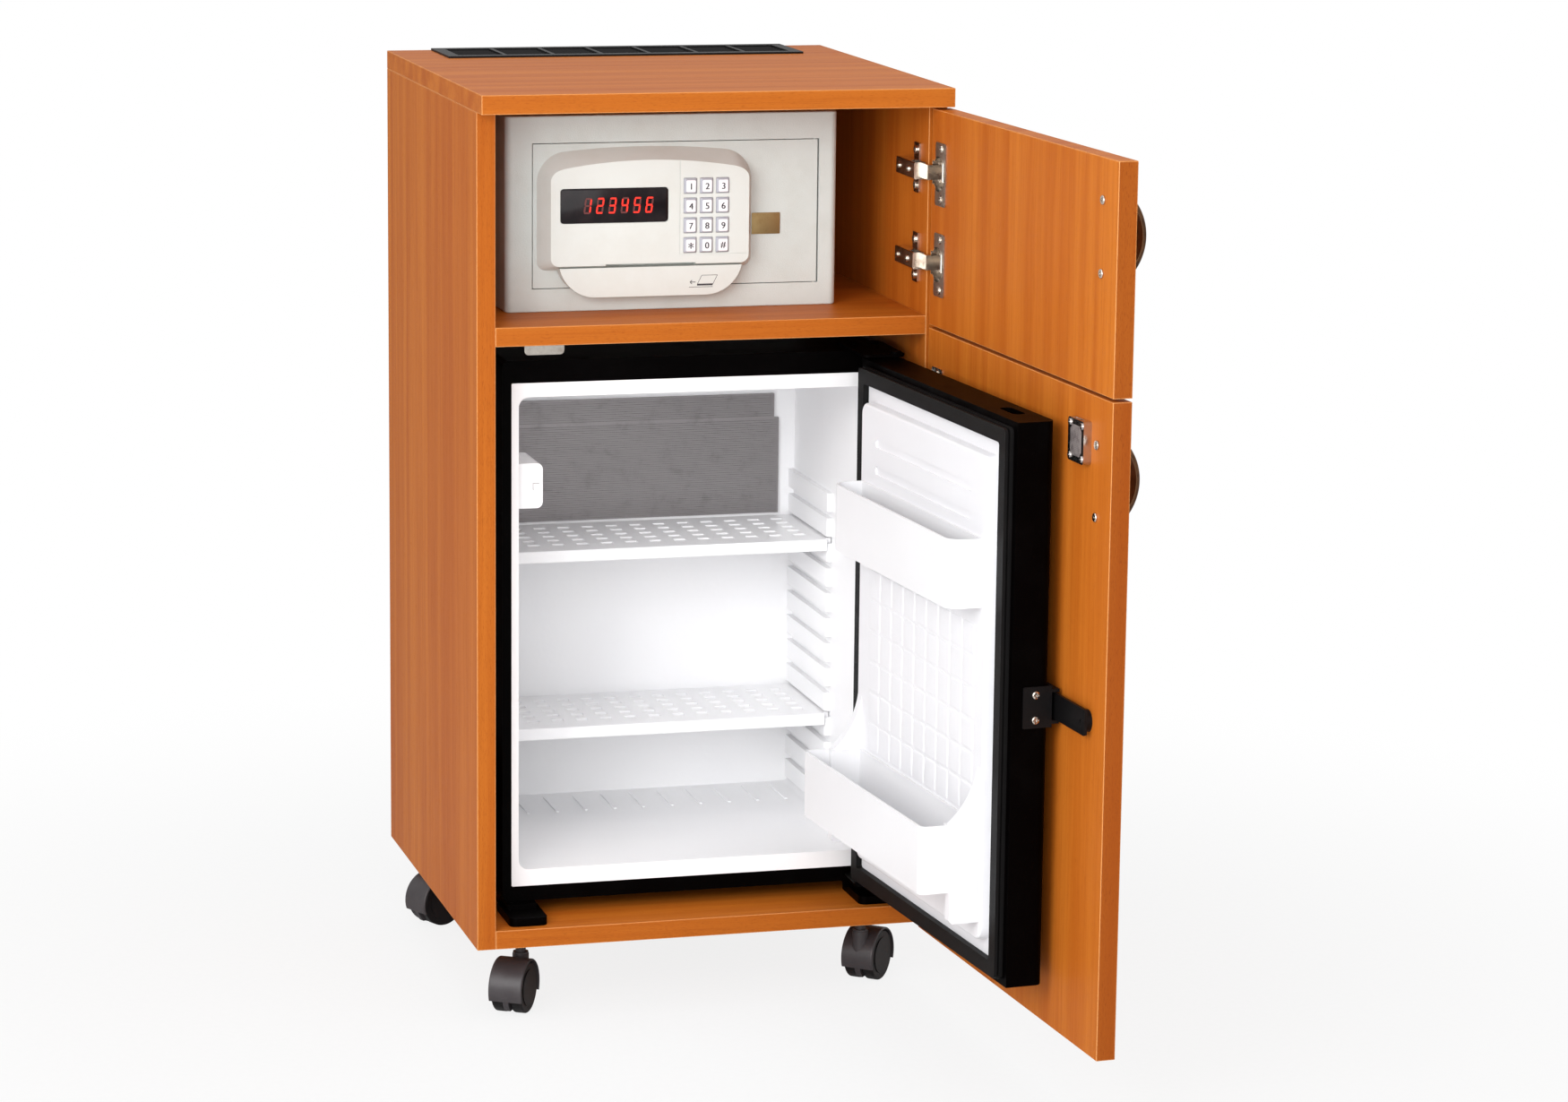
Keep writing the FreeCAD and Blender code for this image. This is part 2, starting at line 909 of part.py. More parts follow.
def hinge_cup(z):
    outer = cup_body(z, 0, cup_deep + cup_wall)
    flange = block(
        (door_half - flange_far, door_half - flange_near),
        (door_inner, door_inner + flange_thick),
        (z - flange_half, z + flange_half),
    )
    flange = rounded(flange, BACK, small_round * 2)
    hollow = cup_body(z, -cup_wall, cup_deep)
    mouth = hollow.copy()
    mouth.translate(vec(0, flange_thick + overrun, 0))
    cup = fused([outer, flange]).cut(hollow.fuse(mouth))
    pin_start = vec(wood_axis[0], wood_axis[1], z - cup_box_half + cup_wall / 2)
    pin = disc(hinge_pin_radius, pin_start, UP, 2 * cup_box_half - cup_wall)
    cup = fused([cup, pin])
    for seat in cup_screw_seats(z):
        cup = cup.cut(screw_hole(seat, BACK, flange_thick + overrun))
    return cup


# Bow handles
def handle_seats(height):
    return [vec(handle_x, 0, height - handle_screw_half), vec(handle_x, 0, height + handle_screw_half)]


def bow_handle(height):
    x = handle_x
    faces = []
    inner_half_long = handle_half - handle_wall * 1.6
    for half, rise in ((handle_half, handle_rise), (inner_half_long, handle_rise - handle_wall)):
        low = vec(x - handle_half_wide, door_outer, height - half)
        top = vec(x - handle_half_wide, door_outer, height + half)
        apex = vec(x - handle_half_wide, door_outer - rise, height)
        wire = Part.Wire([Part.Arc(low, apex, top).toShape(), Part.LineSegment(top, low).toShape()])
        faces.append(Part.Face(wire))
    outer = faces[0].extrude(RIGHT * (2 * handle_half_wide))
    outer = outer.makeFillet(small_round * 1.6, long_arcs(outer))
    inner = faces[1].extrude(RIGHT * (2 * handle_half_wide))
    bow = outer.cut(inner)
    feet = []
    for seat in handle_seats(height):
        foot = disc(handle_foot_radius, vec(x, door_outer, seat.z), BACK * -1, handle_rise)
        feet.append(foot.common(outer))
    whole = fused([bow] + feet)
    for seat in handle_seats(height):
        start = vec(x, door_outer + overrun, seat.z)
        whole = whole.cut(disc(screw_radius + seat_gap, start, BACK * -1, handle_reach + overrun))
    return whole


def long_arcs(shape):
    return [edge for edge in round_edges(shape) if edge.Length > handle_half]


def handle_screws(height):
    heads = []
    for seat in handle_seats(height):
        place = vec(seat.x, door_inner, seat.z)
        length = door_board + handle_reach - seat_gap
        heads.append(screw(place, BACK, screw_head_radius, screw_head_high, length))
    return heads


def door_screws(height, hinges):
    shapes = handle_screws(height)
    for z in hinges:
        for seat in cup_screw_seats(z):
            shapes.append(screw(seat, BACK, screw_head_radius, screw_head_high / 2, screw_length))
    return Part.makeCompound(shapes)


def door_panel(zs, hinges, height):
    panel = board_block((-door_half, door_half), (door_outer, door_inner), zs)
    cuts = []
    for z in hinges:
        cuts.append(cup_pocket(z))
        for seat in cup_screw_seats(z):
            cuts.append(screw_hole(seat, BACK, screw_length))
    for seat in handle_seats(height):
        start = vec(seat.x, door_outer - overrun, seat.z)
        cuts.append(disc(screw_radius + seat_gap, start, BACK, door_board + 2 * overrun))
    return panel.cut(Part.makeCompound(cuts))


# Rim lock
def lock_screw_seats():
    seats = []
    half = lock_width / 2 - lock_screw_inset
    for side in (-1, 1):
        for z in (lock_bottom + lock_screw_inset, lock_bottom + lock_high - lock_screw_inset):
            seats.append(vec(lock_x + side * half, door_inner + lock_deep, z))
    return seats


def lock_plug_centre(y):
    return vec(lock_x, y, plug_height)


def bolt_span_y():
    front = door_inner + lock_deep - lock_wall - running_gap - bolt_thick
    return (front, front + bolt_thick)


def lock_box():
    xs = (lock_x - lock_width / 2, lock_x + lock_width / 2)
    zs = (lock_bottom, lock_bottom + lock_high)
    case = rounded(block(xs, (door_inner, door_inner + lock_deep), zs), BACK, lock_corner)
    hollow = block(
        (xs[0] + lock_wall, xs[1] - lock_wall),
        (door_inner + lock_wall, door_inner + lock_deep - lock_wall),
        (zs[0] + lock_wall, zs[1] - lock_wall),
    )
    case = case.cut(rounded(hollow, BACK, lock_corner))
    span = bolt_span_y()
    slot = block(
        (lock_x - bolt_half_wide - running_gap, lock_x + bolt_half_wide + running_gap),
        (span[0] - running_gap, span[1] + running_gap),
        (zs[1] - lock_wall - overrun, zs[1] + overrun),
    )
    case = case.cut(slot)
    posts = []
    for seat in lock_screw_seats():
        posts.append(disc(screw_radius + lock_wall, seat, BACK * -1, lock_deep))
    case = fused([case] + posts)
    for seat in lock_screw_seats():
        case = case.cut(screw_hole(seat, BACK, lock_deep + overrun))
    bore_start = lock_plug_centre(door_inner - overrun)
    return case.cut(disc(plug_radius + pin_gap, bore_start, BACK, lock_wall + 2 * overrun))


def lock_barrel():
    barrel_radius = plug_radius + pin_gap + barrel_wall
    barrel = disc(barrel_radius, lock_plug_centre(door_inner), BACK * -1, door_board)
    rim = disc(plug_rim_radius, lock_plug_centre(door_outer), BACK * -1, plug_rim_thick)
    bore_start = lock_plug_centre(door_outer - plug_rim_thick - overrun)
    bore = disc(plug_radius + pin_gap, bore_start, BACK, plug_rim_thick + door_board + 2 * overrun)
    return fused([barrel, rim]).cut(bore)


def lock_case():
    shapes = [lock_box(), lock_barrel()]
    for seat in lock_screw_seats():
        length = lock_deep + screw_length
        shapes.append(screw(seat, BACK, lock_screw_head, screw_head_high / 2, length))
    return Part.makeCompound(shapes)


def lock_holes():
    radius = plug_radius + pin_gap + barrel_wall + seat_gap
    cuts = [disc(radius, lock_plug_centre(door_outer - overrun), BACK, door_board + 2 * overrun)]
    for seat in lock_screw_seats():
        cuts.append(screw_hole(seat, BACK, lock_deep + screw_length))
    return Part.makeCompound(cuts)


def lock_plug():
    face = door_outer - plug_rim_thick
    length = plug_rim_thick + door_board + lock_wall + running_gap
    plug = disc(plug_radius, lock_plug_centre(face), BACK, length)
    cam_start = lock_plug_centre(face + length)
    cam_long = bolt_span_y()[1] - cam_start.y
    cam = block(
        (cam_start.x - plug_cam_half, cam_start.x + plug_cam_half),
        (cam_start.y, cam_start.y + cam_long),
        (cam_start.z - plug_cam_half / 2, cam_start.z + plug_cam_half / 2),
    )
    key = block(
        (cam_start.x - key_slot_half, cam_start.x + key_slot_half),
        (face - overrun, face + key_slot_deep),
        (cam_start.z - key_slot_long, cam_start.z + key_slot_long),
    )
    return fused([plug, cam]).cut(key)


def lock_bolt():
    span = bolt_span_y()
    top = lock_bottom + lock_high - running_gap
    low = top - bolt_tail
    blade = block((lock_x - bolt_half_wide, lock_x + bolt_half_wide), span, (low, top))
    blade = rounded(blade, BACK, small_round)
    window = block(
        (lock_x - bolt_window_half, lock_x + bolt_window_half),
        (span[0] - overrun, span[1] + overrun),
        (low - overrun, plug_height + bolt_window_half),
    )
    return blade.cut(window)


def strike_screw_seats():
    z = shelf_bottom - strike_thick
    y = strike_leg * 0.6
    return [vec(lock_x - strike_half / 2, y, z), vec(lock_x + strike_half / 2, y, z)]


def strike_plate():
    xs = (lock_x - strike_half, lock_x + strike_half)
    lip = block(xs, (0, strike_thick), (shelf_bottom - strike_drop, shelf_bottom))
    low = []
    for edge in edges_along(lip, BACK):
        if edge.BoundBox.Center.z < shelf_bottom - strike_drop / 2:
            low.append(edge)
    lip = lip.makeFillet(strike_corner, low)
    leg = block(xs, (0, strike_leg), (shelf_bottom - strike_thick, shelf_bottom))
    plate = fused([lip, leg])
    shapes = []
    for seat in strike_screw_seats():
        plate = plate.cut(screw_hole(seat, UP * -1, strike_thick + overrun))
        shapes.append(screw(seat, UP * -1, screw_head_radius * 0.8, screw_head_high / 2, screw_length))
    return Part.makeCompound([plate] + shapes)


# Follower that joins the wooden door to the cold door
def coupling_strip():
    left = -door_half + strip_edge
    face = door_inner + puck_thick
    zs = (strip_height - strip_half_high, strip_height + strip_half_high)
    strip = block((left, left + strip_long), (face, face + strip_thick), zs)
    strip = rounded(strip, BACK, small_round * 2)
    centre = vec(-door_half + puck_edge, door_inner, strip_height)
    puck = disc(puck_radius, centre, BACK, puck_thick)
    slot_start = vec(centre.x, face + strip_thick, strip_height)
    return fused([strip, puck]).cut(cross_recess(slot_start, BACK))


def coupling_bracket():
    outer = -casing_half - fork_wall
    inner = outer + fork_lap
    zs = (strip_height - fork_half_high, strip_height + fork_half_high)
    side = block((outer, -casing_half), (slab_front - fork_flange, fork_side_rear), zs)
    flange = block((outer, inner), (slab_front - fork_flange, slab_front), zs)
    side_ends = [edge for edge in edges_along(side, RIGHT) if edge.BoundBox.YMin > slab_rear / 2]
    flange_ends = [edge for edge in edges_along(flange, BACK) if edge.BoundBox.XMin > outer]
    parts = [side.makeFillet(small_round, side_ends), flange.makeFillet(small_round, flange_ends)]
    near = strip_half_high + fork_ear_gap
    for span in ((near, near + fork_ear), (-near - fork_ear, -near)):
        ear_zs = (strip_height + span[0], strip_height + span[1])
        parts.append(block((outer, inner), (fork_front, slab_front), ear_zs))
    body = fused(parts)
    for seat in fork_seats():
        body = body.cut(screw_hole(seat, RIGHT * -1, fork_wall + overrun))
    shapes = [body]
    for seat in fork_seats():
        shapes.append(screw(seat, RIGHT * -1, fork_head_radius, fork_head_high, screw_length))
    return Part.makeCompound(shapes)


def fork_seats():
    x = -casing_half - fork_wall
    return [
        vec(x, fork_screw_y, strip_height - fork_screw_half),
        vec(x, fork_screw_y, strip_height + fork_screw_half),
    ]


# Cold box
def fridge_casing():
    outer = block((-casing_half, casing_half), (casing_front, casing_rear), (casing_low, casing_top))
    outer = rounded(outer, BACK, casing_corner)
    inner = block(
        (-casing_half + casing_wall, casing_half - casing_wall),
        (casing_front + casing_wall, casing_rear - casing_wall),
        (casing_low + casing_wall, casing_top - casing_wall),
    )
    inner = rounded(inner, BACK, casing_corner - casing_wall)
    mouth_half = flange_half_wide + seat_gap
    mouth = block(
        (-mouth_half, mouth_half),
        (casing_front - overrun, casing_front + casing_wall + overrun),
        (liner_front_low - seat_gap, liner_front_top + seat_gap),
    )
    shell = outer.cut(inner).cut(mouth)
    for seat in bracket_top_seats():
        shell = shell.cut(screw_hole(seat, UP, screw_length))
    for seat in bracket_low_seats():
        shell = shell.cut(screw_hole(seat, BACK * -1, screw_length))
    return shell


def cavity_block(grow, front):
    space = block(
        (-cavity_half - grow, cavity_half + grow),
        (front, cavity_rear + grow),
        (cavity_bottom - grow, cavity_top + grow),
    )
    return rounded(space, BACK, cavity_corner + grow)


def liner_flange():
    flange = block(
        (-flange_half_wide, flange_half_wide),
        (casing_front, casing_front + liner_wall),
        (liner_front_low, liner_front_top),
    )
    return rounded(flange, BACK, small_round)


def shelf_ribs():
    ribs = []
    rest = upper_shelf_top - shelf_plate
    ribs_below = math.floor((rest - cavity_bottom - rib_gap) / rib_pitch)
    for step in range(-ribs_below, ribs_above + 1):
        top = rest + step * rib_pitch
        for side in (-1, 1):
            xs = sorted((side * rib_half, side * cavity_half))
            rib = block(xs, (rib_front, cavity_rear), (top - rib_pitch + rib_gap, top))
            front = []
            for edge in edges_along(rib, UP):
                middle = edge.BoundBox.Center
                if middle.y < rib_front + overrun and abs(middle.x) < rib_half + overrun:
                    front.append(edge)
            ribs.append(rib.makeFillet(rib_round, front))
    return ribs


def floor_ridges():
    ridges = []
    pitch = 2 * (rib_half - shelf_slot_margin) / (ridge_count - 1)
    rear = cavity_rear - ridge_rear_gap
    zs = (cavity_bottom - liner_wall / 2, cavity_bottom + ridge_high)
    for place in range(ridge_count):
        x = -rib_half + shelf_slot_margin + place * pitch
        ridges.append(block((x - ridge_wide / 2, x + ridge_wide / 2), (rear - ridge_long, rear), zs))
    return ridges


def fridge_liner():
    shell = fused([cavity_block(liner_wall, casing_front + liner_wall / 2), liner_flange()])
    shell = shell.cut(cavity_block(0, casing_front - overrun))
    shell = fused([shell] + shelf_ribs() + floor_ridges())
    return shell


def insulation_foam():
    foam = block(
        (-casing_half + casing_wall, casing_half - casing_wall),
        (casing_front + casing_wall, casing_rear - casing_wall),
        (casing_low + casing_wall, casing_top - casing_wall),
    )
    foam = rounded(foam, BACK, casing_corner - casing_wall)
    foam = foam.cut(cavity_block(liner_wall, casing_front - overrun))
    foam = foam.cut(
        block(
            (-flange_half_wide - seat_gap, flange_half_wide + seat_gap),
            (casing_front, casing_front + liner_wall),
            (liner_front_low - seat_gap, liner_front_top + seat_gap),
        )
    )
    for seat in bracket_top_seats():
        foam = foam.cut(screw_hole(seat, UP, screw_length))
    for seat in bracket_low_seats():
        foam = foam.cut(screw_hole(seat, BACK * -1, screw_length))
    return foam


def evaporator_plate():
    parts = []
    rear = cavity_rear
    face = rear - cold_base
    for half, low, top in (
        (cold_wide_half, cold_wide_low, cold_wide_top),
        (cold_top_half, cold_wide_top, cold_top_top),
    ):
        parts.append(block((-half, half), (face, rear), (low, top)))
        z = low + fin_thick
        while z + fin_thick < top - fin_thick:
            xs = (-half + fin_pitch, half - fin_pitch)
            parts.append(block(xs, (face - fin_deep, face), (z, z + fin_thick)))
            z += fin_pitch
    return fused(parts)


def thermostat_box():
    box = block((-cavity_half, thermo_right), (thermo_front, thermo_rear), (thermo_low, thermo_top))
    right = []
    for edge in edges_along(box, BACK):
        if edge.BoundBox.Center.x > thermo_right - overrun:
            right.append(edge)
    box = box.makeFillet(thermo_corner, right)
    hollow = block(
        (-cavity_half + thermo_wall, thermo_right - thermo_wall),
        (thermo_front + thermo_wall, thermo_rear - thermo_wall),
        (thermo_low + thermo_wall * 2, thermo_top - thermo_wall * 2),
    )
    hole = block(
        (button_x - button_half - button_gap, button_x + button_half + button_gap),
        (thermo_front - overrun, thermo_front + thermo_wall + overrun),
        (button_z - button_half - button_gap, button_z + button_half + button_gap),
    )
    return box.cut(hollow).cut(hole)


def light_switch_button():
    front = thermo_front - button_proud
    button = block(
        (button_x - button_half, button_x + button_half),
        (front, front + button_long),
        (button_z - button_half, button_z + button_half),
    )
    return rounded(button, BACK, small_round / 2)


def cold_shelf(top):
    half = cavity_half - shelf_side_gap
    plate = block((-half, half), (shelf_front, shelf_rear), (top - shelf_plate, top))
    lip_half = rib_half - shelf_side_gap
    lip_ys = (shelf_front - rib_gap, shelf_front + shelf_plate)
    lip = block((-lip_half, lip_half), lip_ys, (top - shelf_lip, top))
    front = []
    for edge in edges_along(lip, RIGHT):
        if edge.BoundBox.Center.y < shelf_front:
            front.append(edge)
    lip = lip.makeFillet(small_round, front)
    plate = fused([plate, lip])
    cuts = []
    step_x = 2 * (lip_half - shelf_slot_margin) / (shelf_slot_columns - 1)
    step_y = (shelf_rear - shelf_front - shelf_slot_margin - shelf_lip / 2) / shelf_slot_rows
    slot_long = shelf_slot_share * step_y
    zs = (top - shelf_plate - overrun, top + overrun)
    for column in range(shelf_slot_columns):
        x = -lip_half + shelf_slot_margin + column * step_x
        for row in range(shelf_slot_rows):
            y = shelf_front + shelf_slot_margin + row * step_y
            xs = (x - shelf_slot_wide / 2, x + shelf_slot_wide / 2)
            cuts.append(block(xs, (y, y + slot_long), zs))
    return plate.cut(Part.makeCompound(cuts))


def fridge_shelves():
    return Part.makeCompound([cold_shelf(upper_shelf_top), cold_shelf(lower_shelf_top)])


def bracket_screw_xs():
    return (casing_half - bracket_screw_in, casing_half - bracket_screw_near)


def bracket_top_seats():
    z = casing_top + bracket_thick
    return [vec(x, bracket_screw_y, z) for x in bracket_screw_xs()]


def bracket_low_seats():
    y = casing_front - bracket_thick
    z = casing_low + bracket_thick * 1.6
    return [vec(x, y, z) for x in bracket_screw_xs()]


def bracket_screws(seats, direction):
    heads = []
    for seat in seats:
        heads.append(screw(seat, direction, screw_head_radius * 0.7, screw_head_high / 2, screw_length))
    return heads


def top_bracket():
    zs = (casing_top, casing_top + bracket_thick)
    plate = block((bracket_left, casing_half), (bracket_front, top_plate_rear), zs)
    plate = rounded(plate, UP, bracket_corner)
    pin_top = vec(cold_axis[0], cold_axis[1], casing_top + bracket_thick / 2)
    long = casing_top + bracket_thick / 2 - (slab_top - cold_pin_long)
    pin = disc(cold_pin_radius, pin_top, UP * -1, long)
    boss = disc(cold_pin_radius * 1.8, vec(cold_axis[0], cold_axis[1], casing_top), UP, bracket_thick * 1.8)
    body = fused([plate, pin, boss])
    for seat in bracket_top_seats():
        body = body.cut(screw_hole(seat, UP, bracket_thick + overrun))
    return body


def low_bracket():
    top = slab_low - bracket_gap
    plate = block((bracket_left, casing_half), (bracket_front, casing_front), (top - bracket_thick, top))
    front = []
    for edge in edges_along(plate, UP):
        if edge.BoundBox.Center.y < bracket_front + overrun:
            front.append(edge)
    plate = plate.makeFillet(bracket_corner, front)
    leg_ys = (casing_front - bracket_thick, casing_front)
    leg = block((bracket_left, casing_half), leg_ys, (floor_top + foot_pad_high, top))
    pin_start = vec(cold_axis[0], cold_axis[1], top - bracket_thick)
    pin = disc(cold_pin_radius, pin_start, UP, bracket_thick + bracket_gap + cold_pin_long)
    body = fused([plate, leg, pin])
    for seat in bracket_low_seats():
        body = body.cut(screw_hole(seat, BACK * -1, bracket_thick + overrun))
    return body


def front_foot(side):
    xs = sorted((side * foot_left, side * foot_right))
    pad = block(xs, (foot_front, foot_rear), (floor_top, floor_top + foot_pad_high))
    pad = rounded(pad, UP, foot_corner)
    inset = foot_corner / 2
    post = block(
        (xs[0] + inset, xs[1] - inset - small_round),
        (casing_front, foot_rear - inset),
        (floor_top + foot_pad_high, casing_low),
    )
    rise = block(
        (xs[0] + inset, xs[1] - inset - small_round),
        (foot_post_front, casing_front - bracket_thick),
        (floor_top + foot_pad_high, casing_low),
    )
    return fused([pad, post, rise])


def rear_foot(side):
    xs = sorted((side * foot_left, side * (foot_right - foot_corner)))
    foot = block(xs, (rear_foot_front, rear_foot_rear), (floor_top, casing_low))
    return rounded(foot, UP, foot_corner)


def fridge_brackets():
    shapes = [top_bracket(), low_bracket()]
    shapes += bracket_screws(bracket_top_seats(), UP)
    shapes += bracket_screws(bracket_low_seats(), BACK * -1)
    return Part.makeCompound(shapes)


def fridge_feet():
    shapes = []
    for side in (-1, 1):
        shapes.append(front_foot(side))
        shapes.append(rear_foot(side))
    return Part.makeCompound(shapes)


# Cold door
def slab_block(shrink, rear):
    half = casing_half - shrink
    slab = block((-half, half), (slab_front + shrink, rear), (slab_low + shrink, slab_top - shrink))
    front = []
    for edge in edges_along(slab, UP):
        if edge.BoundBox.Center.y < slab_front + shrink + overrun:
            front.append(edge)
    return slab.makeFillet(slab_round - shrink, front)


def slab_mouth():
    fit = gasket_wide + mouth_inset
    mouth = block(
        (-gasket_half + fit, gasket_half - fit),
        (slab_rear - door_wall - overrun, slab_rear),
        (gasket_low + fit, gasket_top - fit),
    )
    return mouth


def slab_solid_parts():
    shapes = []
    for z, direction in ((slab_top, UP * -1), (slab_low, UP)):
        start = vec(cold_axis[0], cold_axis[1], z) + direction * (door_wall / 2)
        long = cold_pin_long + running_gap + door_wall
        boss = disc(cold_pin_radius + slab_boss_wall, start, direction, long)
        shapes.append(boss.common(slab_block(0, slab_rear)))
    shapes.append(
        block(
            (top_slot_left - door_wall, top_slot_right + door_wall),
            (top_slot_front - door_wall, top_slot_rear + door_wall),
            (slab_top - top_slot_deep - door_wall, slab_top - door_wall / 2),
        )
    )
    return shapes


def slab_cuts():
    cuts = []
    for z, direction in ((slab_top, UP * -1), (slab_low, UP)):
        start = vec(cold_axis[0], cold_axis[1], z) - direction * overrun
        long = cold_pin_long + overrun + running_gap
        cuts.append(disc(cold_pin_radius + pin_gap, start, direction, long))
    slot_zs = (slab_top - top_slot_deep, slab_top + overrun)
    slot = block((top_slot_left, top_slot_right), (top_slot_front, top_slot_rear), slot_zs)
    cuts.append(rounded(slot, UP, (top_slot_rear - top_slot_front) * 0.4))
    for seat in fork_seats():
        cuts.append(screw_hole(seat, RIGHT * -1, screw_length))
    return cuts


def fridge_door_shell():
    hollow = slab_block(door_wall, slab_rear - door_wall)
    shell = slab_block(0, slab_rear).cut(hollow).cut(slab_mouth())
    return fused([shell] + slab_solid_parts()).cut(Part.makeCompound(slab_cuts()))


def fridge_door_foam():
    core = fused([slab_block(door_wall, slab_rear - door_wall), slab_mouth()])
    for shape in slab_solid_parts() + slab_cuts():
        core = core.cut(shape)
    return core


def gasket_ring(inset, ys):
    half = gasket_half - inset
    outer = block((-half, half), ys, (gasket_low + inset, gasket_top - inset))
    outer = rounded(outer, BACK, gasket_lip + small_round)
    inner_half_wide = gasket_half - gasket_wide
    inner = block(
        (-inner_half_wide, inner_half_wide),
        (ys[0] - overrun, ys[1] + overrun),
        (gasket_low + gasket_wide, gasket_top - gasket_wide),
    )
    return outer.cut(rounded(inner, BACK, gasket_lip))


def fridge_door_gasket():
    split = slab_rear + gasket_thick * 0.45
    ring = gasket_ring(0, (slab_rear, split))
    neck = gasket_ring(gasket_lip, (split, split + gasket_thick * 0.2))
    lip = gasket_ring(gasket_lip / 3, (split + gasket_thick * 0.2, slab_rear + gasket_thick))
    return fused([ring, neck, lip])


def plinth_wing(side):
    base_y = slab_rear + plinth_high
    xs = sorted((side * wing_in, side * wing_half_out))
    side_x = xs[0]
    bend_top = lower_bin_low + lower_bin_high
    points = [
        vec(side_x, base_y - overrun, wing_low),
        vec(side_x, wing_face - small_round * 2, wing_low),
        vec(side_x, wing_face, wing_low + small_round * 2),
        vec(side_x, wing_face, bend_top),
    ]
    edges = []
    for start, end in zip(points[:-1], points[1:]):
        edges.append(Part.LineSegment(start, end).toShape())
    tip = vec(side_x, base_y, wing_top)
    edges.append(Part.Arc(points[-1], vec(side_x, wing_bend_y, wing_bend_z), tip).toShape())
    corner = vec(side_x, base_y - overrun, wing_top)
    edges.append(Part.LineSegment(tip, corner).toShape())
    edges.append(Part.LineSegment(corner, points[0]).toShape())
    return Part.Face(Part.Wire(edges)).extrude(RIGHT * (xs[1] - xs[0]))


def fridge_door_liner():
    fit = gasket_wide + gasket_fit
    sheet_block = block(
        (-gasket_half + fit, gasket_half - fit),
        (slab_rear, slab_rear + sheet),
        (gasket_low + fit, gasket_top - fit),
    )
    sheet_block = rounded(sheet_block, BACK, gasket_lip)
    plinth_ys = (slab_rear, slab_rear + plinth_high)
    plinth = block((-plinth_half, plinth_half), plinth_ys, (plinth_low, plinth_top))
    plinth = rounded(plinth, BACK, plinth_corner)
    rim = []
    for edge in plinth.Edges:
        if edge.BoundBox.YMin > slab_rear + plinth_high - small_round:
            rim.append(edge)
    plinth = plinth.makeFillet(plinth_edge, rim)
    body = fused([sheet_block, plinth, plinth_wing(-1), plinth_wing(1)])
    cuts = []
    for row in range(2):
        low = panel_bar_low - row * panel_bar_pitch
        bar = block(
            (-panel_bar_half, panel_bar_half),
            (slab_rear + plinth_high - panel_bar_deep, slab_rear + plinth_high + overrun),
            (low, low + panel_bar_high),
        )
        cuts.append(rounded(bar, BACK, panel_bar_high / 2 - seat_gap))
    return body.cut(Part.makeCompound(cuts))


def bin_block(half, ys, zs, front_round):
    solid = block((-half, half), ys, zs)
    if front_round > 0:
        corners = []
        for edge in edges_along(solid, UP):
            if edge.BoundBox.Center.y > ys[1] - overrun:
                corners.append(edge)
        solid = solid.makeFillet(front_round, corners)
    return solid


def upper_bin():
    rear = slab_rear + plinth_high + bin_fit
    top = upper_bin_low + upper_bin_high
    outer = bin_block(upper_bin_half, (rear, upper_bin_front), (upper_bin_low, top), upper_bin_round)
    hollow = bin_block(
        upper_bin_half - bin_wall,
        (rear + bin_wall, upper_bin_front - bin_wall),
        (upper_bin_low + bin_wall, top + overrun),
        upper_bin_round - bin_wall,
    )
    return outer.cut(hollow)


def lower_bin():
    rear = slab_rear + plinth_high + bin_fit
    step = wing_face + bin_fit
    top = lower_bin_low + lower_bin_high
    tail = wing_in - bin_fit
    outer = fused([
        bin_block(lower_bin_half, (step, lower_bin_front), (lower_bin_low, top), lower_bin_round),
        bin_block(tail, (rear, step + bin_wall), (lower_bin_low, top), 0),
    ])
    zs = (lower_bin_low + bin_wall, top + overrun)
    front_ys = (step + bin_wall, lower_bin_front - bin_wall)
    rear_ys = (rear + bin_wall, (lower_bin_front + step) / 2)
    hollow = fused([
        bin_block(lower_bin_half - bin_wall, front_ys, zs, lower_bin_round - bin_wall),
        bin_block(tail - bin_wall, rear_ys, zs, 0),
    ])
    return outer.cut(hollow)


def bottle_bins():
    return Part.makeCompound([upper_bin(), lower_bin()])


# Cooling unit behind the casing
def bent_pipe(points):
    pieces = []
    last = points[0]
    for before, corner, after in zip(points[:-2], points[1:-1], points[2:]):
        arrive = corner.sub(before).normalize()
        leave = after.sub(corner).normalize()
        turn = arrive.getAngle(leave)
        start = corner - arrive * (pipe_bend * math.tan(turn / 2))
        pieces.append(disc(unit_tube, last, arrive, start.sub(last).Length))
        axis = arrive.cross(leave).normalize()
        centre = start + axis.cross(arrive) * pipe_bend
        ring = Part.Face(Part.Wire(Part.makeCircle(unit_tube, start, arrive)))
        pieces.append(ring.revolve(centre, axis, math.degrees(turn)))
        last = corner + leave * (pipe_bend * math.tan(turn / 2))
    final = points[-1].sub(last)
    pieces.append(disc(unit_tube, last, final, final.Length))
    return pieces


def rear_tank():
    y = casing_rear + unit_gap + tank_radius
    tank = disc(tank_radius, vec(-tank_half, y, tank_z), RIGHT, 2 * tank_half)
    return tank.makeFillet(tank_radius / 3, round_edges(tank))


def coil_points(y, top):
    first = tank_z + tank_radius * 2
    points = [vec(-tank_half / 2, y, tank_z), vec(-tank_half / 2, y, first)]
    for turn in range(coil_turns):
        z = first + turn * coil_pitch
        side = 1 if turn % 2 == 0 else -1
        points.append(vec(side * coil_half, y, z))
        points.append(vec(side * coil_half, y, z + coil_pitch))
    points.append(vec(-boiler_x, y, points[-1].z))
    points.append(vec(-boiler_x, y, top))
    points.append(vec(boiler_x, y, top))
    points.append(vec(boiler_x, y, boiler_low + boiler_high))
    return points


